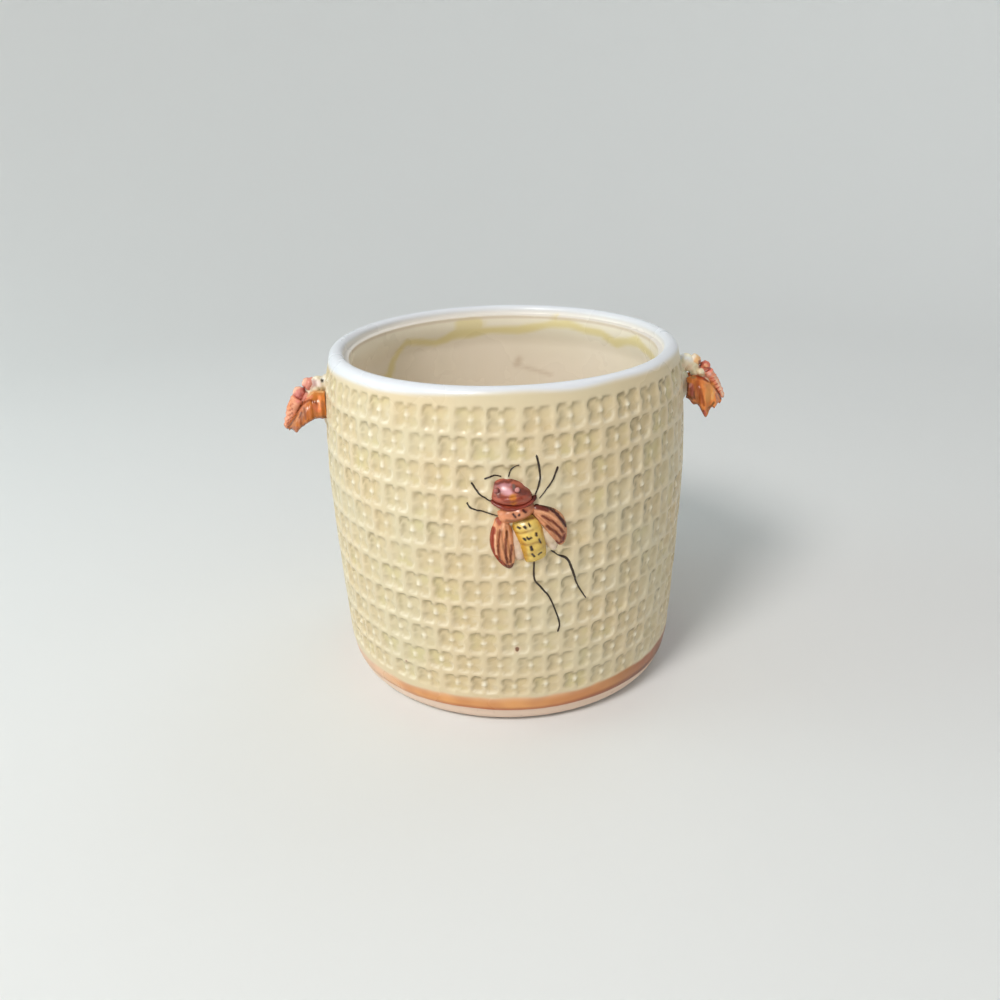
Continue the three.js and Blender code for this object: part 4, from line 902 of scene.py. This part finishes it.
# Paint of the ears as seen from the photograph's side, in millimetres out and up from the lug's root
EAR_PAINT = {
    "left": [
        # painted highlights: white glints on the top of the lug
        ([(0.6, 1.7)], 1.2, (250, 248, 238), 0.9, 0.4),
        ([(1.9, 0.7), (1.8, -0.1)], 1.3, (250, 232, 226), 0.9, 0.5),
        # painted shade: olive on the lug's underside
        ([(1.7, -1.3), (0.4, -1.5)], 1.0, (206, 198, 158), 0.8, 0.4),
        # painted shadow: a dark spot standing for a small pit in the lug
        ([(0.8, 1.1)], 1.0, (70, 64, 52), 1, 0.18),
        ([(3.1, 1.0), (3.0, 0)], 1.2, (180, 130, 134), 0.8, 0.5),
        # painted highlight on the head ball's upper edge
        ([(5.4, 1.8), (6.0, 0.8)], 0.9, (248, 196, 166), 0.8, 0.4),
        # painted shade on the head ball's lower side
        ([(4.7, -1.0), (3.7, -0.5)], 0.8, (176, 92, 74), 0.7, 0.4),
        # painted shade in the fold between the head ball and the thorax ball
        ([(6.1, -0.6), (5.9, -1.7), (5.3, -2.2)], 0.6, (146, 66, 54), 0.9, 0.25),
        # painted highlight on the thorax ball's upper edge
        ([(9.1, -1.8), (8.3, -0.8), (7.1, -0.2)], 0.9, (252, 204, 172), 0.8, 0.4),
        ([(6.9, -2.7)], 1.2, (172, 88, 88), 0.7, 0.4),
        ([(8.4, -3.4), (7.6, -3.6)], 0.7, (156, 80, 80), 0.7, 0.3),
        ([(4.5, -3.3), (6.3, -5.2), (7.7, -7.2)], 1.3, (222, 134, 96), 0.9, 0.35),
        ([(5.5, -2.9), (6.7, -3.9), (8.1, -4.6)], 1.2, (240, 150, 134), 0.9, 0.35),
        ([(9.9, -3.2), (10.5, -4.8), (10.8, -6.4)], 1.2, (228, 142, 92), 0.9, 0.4),
        ([(10.4, -2.8), (10.8, -4.2)], 0.6, (250, 196, 156), 0.7, 0.3),
        ([(8.9, -5.1), (10.2, -7.5), (11.2, -9.7)], 0.8, (246, 176, 140), 0.8, 0.3),
        ([(10.3, -5.8), (9.5, -5.2)], 0.3, (164, 78, 52), 0.9, 0.15),
        ([(10.8, -7.2), (9.7, -6.6)], 0.3, (164, 78, 52), 0.9, 0.15),
        ([(11.0, -8.6), (9.9, -7.8)], 0.3, (164, 78, 52), 0.9, 0.15),
        ([(11.4, -9.9), (10.3, -9.0)], 0.3, (164, 78, 52), 0.9, 0.15),
        ([(11.8, -11.0), (10.9, -10.1)], 0.3, (164, 78, 52), 0.9, 0.15),
        ([(7.3, -5.9), (8.2, -7.2), (9.3, -9.1), (10.5, -10.8), (11.4, -11.8)], 0.6, (112, 52, 20), 0.9, 0.25),
        ([(7.3, -5.9), (6.1, -4.9), (4.9, -4.4), (3.9, -4.9), (2.8, -5.5)], 0.6, (136, 60, 6), 0.95, 0.25),
        ([(5.5, -6.2), (5.4, -7.7), (5.5, -8.7)], 1.6, (196, 110, 54), 0.9, 0.5),
        ([(3.6, -6.3), (2.7, -7.4)], 1.5, (228, 122, 70), 0.9, 0.5),
        ([(1.9, -3.5), (2.2, -5.0), (2.4, -6.9)], 0.8, (246, 150, 90), 0.9, 0.3),
        ([(1.3, -5.3), (1.4, -9.0)], 0.8, (176, 102, 44), 0.9, 0.3),
        ([(6.5, -6.6), (6.4, -8.0), (6.5, -9.7)], 0.55, (140, 64, 14), 0.9, 0.25),
        ([(7.5, -7.9), (8.1, -10.8)], 1.1, (182, 96, 44), 0.8, 0.4),
        ([(7.4, -7.9), (8.2, -9.3)], 0.35, (122, 58, 20), 0.9, 0.2),
        ([(10.2, -12.3), (9.0, -12.4)], 1.2, (166, 92, 58), 0.8, 0.4),
        ([(12.5, -11.6)], 0.8, (222, 164, 132), 0.8, 0.3),
        ([(11.9, -12.5)], 0.5, (88, 44, 24), 0.9, 0.2),
        ([(4.1, -2.4), (0.9, -2.8)], 1.0, (206, 132, 66), 0.8, 0.4),
        # painted highlight along the near wing's upper edge
        ([(5.2, -3.3), (3.3, -1.7), (1.0, -2.2)], 0.6, (240, 196, 140), 0.8, 0.3),
        ([(2.3, -9.4), (1.1, -9.2)], 0.6, (150, 96, 56), 0.8, 0.3)],
    "right": [
        # painted highlights on the top of the right lug
        ([(1.7, 1.9), (0.9, 1.0)], 1.0, (250, 236, 230), 0.8, 0.4),
        ([(2.6, 1.1), (3.8, 0.6)], 1.2, (244, 218, 214), 0.9, 0.5),
        ([(3.1, -2.0), (3.8, -1.5)], 1.4, (206, 190, 160), 0.8, 0.5),
        ([(2.1, -4.7), (2.3, -8.9)], 0.7, (238, 220, 192), 0.8, 0.3),
        ([(5.8, 0.3)], 1.6, (224, 168, 116), 0.9, 0.5),
        ([(4.9, 1.5), (4.3, 0.2)], 1.1, (246, 206, 192), 0.9, 0.4),
        ([(5.1, -1.0), (6.0, -2.1)], 1.2, (226, 206, 178), 0.8, 0.4),
        ([(6.7, -0.2), (6.8, -1.9)], 0.6, (104, 54, 36), 0.95, 0.25),
        ([(7.3, -0.1), (7.8, -0.2)], 0.9, (178, 96, 88), 0.9, 0.35),
        ([(8.5, -1.6)], 1.1, (226, 172, 130), 0.8, 0.4),
        ([(8.1, -2.0), (9.6, -2.3)], 0.35, (140, 72, 58), 0.8, 0.15),
        ([(6.4, -4.2), (8.1, -4.3)], 0.6, (196, 168, 116), 0.7, 0.3),
        ([(9.7, -3.2), (10.2, -2.9)], 0.8, (212, 106, 94), 0.9, 0.35),
        ([(8.7, -3.1), (10.2, -4.3)], 0.9, (244, 164, 152), 0.9, 0.35),
        ([(8.4, -4.8), (9.6, -4.8)], 0.8, (238, 150, 130), 0.9, 0.35),
        ([(11.2, -4.9), (12.4, -6.5), (13.3, -8.4), (14.3, -10.7)], 0.6, (246, 186, 160), 0.8, 0.3),
        ([(10.4, -5.4), (11.2, -5.2)], 0.35, (168, 74, 54), 0.9, 0.15),
        ([(10.7, -6.6), (11.7, -6.0)], 0.35, (168, 74, 54), 0.9, 0.15),
        ([(11.3, -7.4), (12.4, -7.1)], 0.35, (168, 74, 54), 0.9, 0.15),
        ([(12.1, -8.6), (12.9, -8.1)], 0.35, (168, 74, 54), 0.9, 0.15),
        ([(12.7, -9.6), (13.4, -9.2)], 0.35, (168, 74, 54), 0.9, 0.15),
        ([(6.2, -4.5), (7.6, -5.0), (9.3, -6.1), (10.6, -7.4), (12.0, -8.7), (13.1, -10.3), (13.6, -11.6)], 0.55,
         (108, 44, 14), 0.95, 0.22),
        ([(6.2, -4.6), (7.0, -5.2), (8.1, -5.2)], 0.9, (158, 60, 26), 0.8, 0.35),
        ([(4.7, -7.4), (5.0, -9.8)], 1.5, (158, 74, 62), 0.9, 0.5),
        # painted highlight on the dark inner lobe of the near wing
        ([(4.5, -6.9), (4.3, -7.3)], 0.8, (248, 152, 140), 0.9, 0.3),
        ([(4.3, -10.7), (5.4, -10.9)], 1.0, (126, 76, 40), 0.85, 0.4),
        ([(3.6, -6.6), (3.6, -9.0), (3.9, -11.1)], 0.7, (92, 46, 30), 0.9, 0.3),
        ([(4.8, -4.7), (5.6, -4.9)], 0.8, (168, 128, 84), 0.8, 0.3),
        ([(6.6, -6.3), (7.3, -9.2), (8.0, -12.1)], 1.4, (182, 92, 42), 0.9, 0.5),
        ([(7.4, -8.6), (8.1, -10.6), (8.9, -13.2)], 0.6, (148, 70, 18), 0.9, 0.3),
        ([(9.0, -15.0), (9.3, -16.1)], 0.7, (190, 78, 66), 0.9, 0.3),
        ([(8.2, -14.5), (8.8, -15.0)], 0.5, (120, 48, 26), 0.8, 0.25),
        ([(10.3, -7.7), (10.2, -10.9)], 2.6, (220, 146, 76), 0.9, 0.7),
        ([(8.6, -7.6), (9.8, -6.9)], 0.7, (218, 144, 82), 0.8, 0.4),
        ([(11.2, -9.4), (11.2, -11.5)], 0.5, (226, 158, 96), 0.8, 0.25),
        ([(12.1, -10.1), (12.4, -11.4)], 0.5, (168, 88, 40), 0.8, 0.25),
        ([(10.4, -13.9), (11.2, -13.4), (11.7, -12.5)], 0.5, (96, 66, 14), 0.9, 0.25),
        ([(6.0, -11.2), (5.6, -9.1)], 0.35, (104, 52, 26), 0.8, 0.2)],
}


def ear_place(ear, points):
    """Turns ear places into points of the pot."""
    points = np.asarray(points, float)
    root_radius = float(wall_radius(ear["height"]))
    return np.stack([ear["sign"] * (root_radius + points[..., 0]), points[..., 1], ear["height"] + points[..., 2]],
                    axis=-1)


def ear_colours(side, corners, base, seed):
    """The ear's paint, laid as seen from the photograph's side; the side away from it is painted alike."""
    ear = EARS[side]
    near = np.abs(corners[:, 1])
    out = ear["sign"] * corners[:, 0] - float(wall_radius(ear["height"])) + ear["seen"][0] * near
    up = corners[:, 2] - ear["height"] - ear["seen"][1] * near
    # the ear's gain brightens its paint: painted light on the right ear
    return np.minimum(ear["painted_light_gain"] * paint(np.stack([out, up], axis=1), base, EAR_PAINT[side], seed), 0.9)


def bar(spine, radius_at, steps, sides):
    """Places of a round bar in the out-up plane."""
    t = np.linspace(0, 1, steps + 1)
    path = spline(spine, t)
    run = np.gradient(path, axis=0)
    run /= np.linalg.norm(run, axis=1)[:, None]
    lift = np.cross(run, (0.0, 1.0, 0.0))
    grid_t, turn = np.meshgrid(t, np.linspace(0, 2 * math.pi, sides, endpoint=False), indexing="ij")
    radius = radius_at(grid_t, turn)
    return (path[:, None, :] + (radius * np.cos(turn))[..., None] * np.array([0, 1.0, 0])
            + (radius * np.sin(turn))[..., None] * lift[:, None, :])


def ear_bar(side, name, node, spine, radius_at, base, seed, material, extra=()):
    steps, sides = 80, 30
    ear = EARS[side]
    corners = ear_place(ear, bar(spine, radius_at, steps, sides)).reshape(-1, 3)
    faces = tube_faces(steps, sides, side == "right")
    for centre in extra:
        points, more, _ = lump(centre, (1.05, 0.95, 1.0), np.eye(3), seed, 0.1, 12)
        more = more if side == "right" else [face[::-1] for face in more]
        faces += [tuple(len(corners) + k for k in face) for face in more]
        corners = np.vstack([corners, ear_place(ear, points)])
    piece = add_mesh(f"ear_{side}_{name}", corners, faces, material,
                     {"paint": ear_colours(side, corners, base, seed)})
    place_piece(piece, f"ear_{side}_{node}")


def ear_ball(side, name, node, centre, radius, base, seed, material):
    points, faces, unit = lump(centre, (radius, radius * 0.97, radius * 0.95), np.eye(3), seed, 0.16, 24)
    points += unit * (0.1 * noise(7 + 6 * unit[:, 0], 7 + 6 * unit[:, 2], seed + 1))[:, None]
    corners = ear_place(EARS[side], points)
    faces = faces if side == "right" else [face[::-1] for face in faces]
    place_piece(add_mesh(f"ear_{side}_{name}", corners, faces, material,
                         {"paint": ear_colours(side, corners, base, seed)}), f"ear_{side}_{node}")


def wing_grid(ear, t, v, sideways, inset, folds):
    start = spline([(x, 0, z) for x, z in ear["wing_root"]], t)
    turn = v * math.pi / 2
    across = WING_START + (smooth_list(ear["wing_spread"], t) - inset + folds * v) * np.sin(turn)
    drop = smooth_list(ear["wing_drop"], t) - np.where(v < 1, inset, 0)
    up = start[..., 2] - inset - drop * (1 - np.cos(turn)) + folds * v * (1 - v)
    return np.stack([start[..., 0] + smooth_list(ear["wing_slide"], t) * v, sideways * across, up], axis=-1)


def ear_wing(side, name, sideways, seed, material):
    ear = EARS[side]
    t, v = np.meshgrid(np.linspace(0, 1, 100), np.linspace(0, 1, 56), indexing="ij")
    folds = FOLD_DEPTH * np.sin(2 * math.pi * WING_FOLDS * t) + 0.12 * np.sin(2 * math.pi * 9 * t + 2 * v)
    folds = (folds + 0.2 * noise(t * 9, v * 6, seed)) * smooth(0.95, 0.6, t)
    corners, faces = closed_grid(ear_place(ear, wing_grid(ear, t, v, sideways, 0.0, folds)),
                                 ear_place(ear, wing_grid(ear, t, v, sideways, WING_THICKNESS, folds)))
    colours = ear_colours(side, corners, ear["near" if sideways < 0 else "far"], seed)
    # painted shade: the paint is darkened in the valleys of the folds
    valley_shade = (0.35 * smooth(0.1, -0.5, folds / FOLD_DEPTH) * v).ravel()[:, None]
    colours *= 1 - np.concatenate([valley_shade, valley_shade])
    place_piece(add_mesh(f"ear_{side}_{name}_drape", corners, faces, material, {"paint": colours}),
                f"ear_{side}_{name}")


def ear_pad(side, seed, material):
    ear = EARS[side]
    t, v = np.meshgrid(np.linspace(0, 1, 60), np.linspace(0, 1, 24), indexing="ij")
    q = np.sin((v - 0.5) * math.pi)
    plan = leaf_plan(ROOT_PAD, t, q)
    dome = np.sqrt(np.maximum(0, 1 - q * q) * np.sin(math.pi * (0.03 + 0.94 * t)))
    rise = -SINK + (ear["pad"] + SINK + 0.2 * noise(plan[..., 0] * 0.9, plan[..., 1] * 0.9, seed)) * dome

    def at(height_rise):
        up = ear["height"] + plan[..., 1]
        radius = wall_radius(up) + height_rise
        turn = plan[..., 0] / radius
        return np.stack([ear["sign"] * radius * np.cos(turn), radius * np.sin(turn), up], axis=-1)

    corners, faces = closed_grid(at(rise), at(np.full_like(rise, -SINK - 0.3)))
    # the root strip also takes the ear's gain: painted light on the right ear
    colours = np.minimum(ear["painted_light_gain"] * paint(plan.reshape(-1, 2), (246, 224, 194), [], seed), 0.9)
    piece = add_mesh(f"ear_{side}_root_strip", corners, faces, material, {"paint": np.concatenate([colours, colours])})
    place_piece(piece, f"ear_{side}_root_pad")


def make_ear(side, seed, material):
    ear = EARS[side]

    def knuckle(t, turn):
        lumpy = 1 + 0.16 * noise(t * 8, turn * 1.4, seed) + 0.07 * np.sin(t * 34 + turn)
        return smooth_list(ear["lug_radii"], t) * lumpy * (smooth(1.04, 0.9, t) + 0.02)

    def ringed(t, turn):
        rings = 0.16 * np.abs(np.cos(math.pi * 6 * t + 0.6 * np.sin(turn)))
        hatch = 0.09 * np.sin(turn * 7 + t * 30) * smooth(-0.4, 0.6, np.sin(turn))
        return (smooth_list(ear["body_radii"], t) - rings + hatch) * (smooth(1.05, 0.93, t) + 0.03)

    ear_bar(side, "lug_knuckle", "lug", ear["lug_spine"], knuckle, ear["lug"], seed + 1,
            material, ear["lumps"])
    ear_pad(side, seed + 2, material)
    ear_ball(side, "head_ball", "head", ear["head"], ear["head_radius"], ear["ball"], seed + 3, material)
    ear_ball(side, "thorax_ball", "thorax", ear["back"], ear["back_radius"], ear["second"], seed + 4, material)
    ear_bar(side, "ringed_back", "abdomen", ear["body_spine"], ringed, ear["ridge"], seed + 5,
            material)
    ear_wing(side, "near_wing", -1.0, seed + 6, material)
    ear_wing(side, "far_wing", 1.0, seed + 7, material)


ear_glaze = painted_material("painted_ear_glaze", roughness=0.24, grain=380.0, depth=0.00015)
make_ear("left", 90, ear_glaze)
make_ear("right", 110, ear_glaze)


# The stage: a pale round sweep, a soft key lamp from the upper left, a cool fill and a plain pale world

SWEEP_FLAT = 0.45
SWEEP_BEND = 0.5
SWEEP_TOP = 1.2


def make_sweep():
    bend = [(SWEEP_FLAT + SWEEP_BEND * math.sin(a), SWEEP_BEND * (1 - math.cos(a)))
            for a in np.linspace(0, math.pi / 2, 17)]
    rings = [(0.02, 0.0), (0.15, 0.0), (0.3, 0.0), *bend, (SWEEP_FLAT + SWEEP_BEND, SWEEP_TOP)]
    count = 96
    turn = np.linspace(0, 2 * math.pi, count, endpoint=False)
    corners = [np.stack([r * np.cos(turn), r * np.sin(turn), np.full_like(turn, z)], axis=1) / MM for r, z in rings]
    faces = tube_faces(len(rings) - 1, count, True)[:-1]
    n = Nodes("pale_sweep")
    n.shader.inputs["Base Color"].default_value = (0.80, 0.80, 0.79, 1.0)
    n.shader.inputs["Roughness"].default_value = 0.9
    n.shader.inputs["Specular IOR Level"].default_value = 0.1
    add_mesh("pale_sweep", np.concatenate(corners), faces, n.material)


def make_lamp(name, at, aim, size, power, colour):
    data = bpy.data.lights.new(name, "AREA")
    data.shape, data.size, data.energy, data.color = "DISK", size, power, colour
    lamp = bpy.data.objects.new(name, data)
    lamp.location = at
    lamp.rotation_mode = "QUATERNION"
    lamp.rotation_quaternion = (Vector(aim) - Vector(at)).to_track_quat("-Z", "Y")
    lamp.visible_camera = False
    bpy.context.scene.collection.objects.link(lamp)


def make_world():
    world = bpy.data.worlds.new("plain_daylight")
    bpy.context.scene.world = world
    world.use_nodes = True
    world.node_tree.nodes["Background"].inputs["Color"].default_value = (0.95, 0.975, 1.0, 1.0)
    world.node_tree.nodes["Background"].inputs["Strength"].default_value = 0.25


make_sweep()
make_lamp("key", (-0.42, -0.51, 0.75), (0, 0, 0.05), 0.3, 5.5, (1.0, 0.975, 0.95))
make_lamp("fill", (-0.8, 0.05, 0.35), (0, 0, 0.05), 0.5, 1.6, (0.7, 0.97, 1.0))
make_lamp("sky", (0.45, 0.5, 0.8), (0, 0, 0.05), 0.6, 1.0, (0.88, 0.95, 1.0))
make_world()
bpy.context.scene.view_settings.view_transform = "Standard"
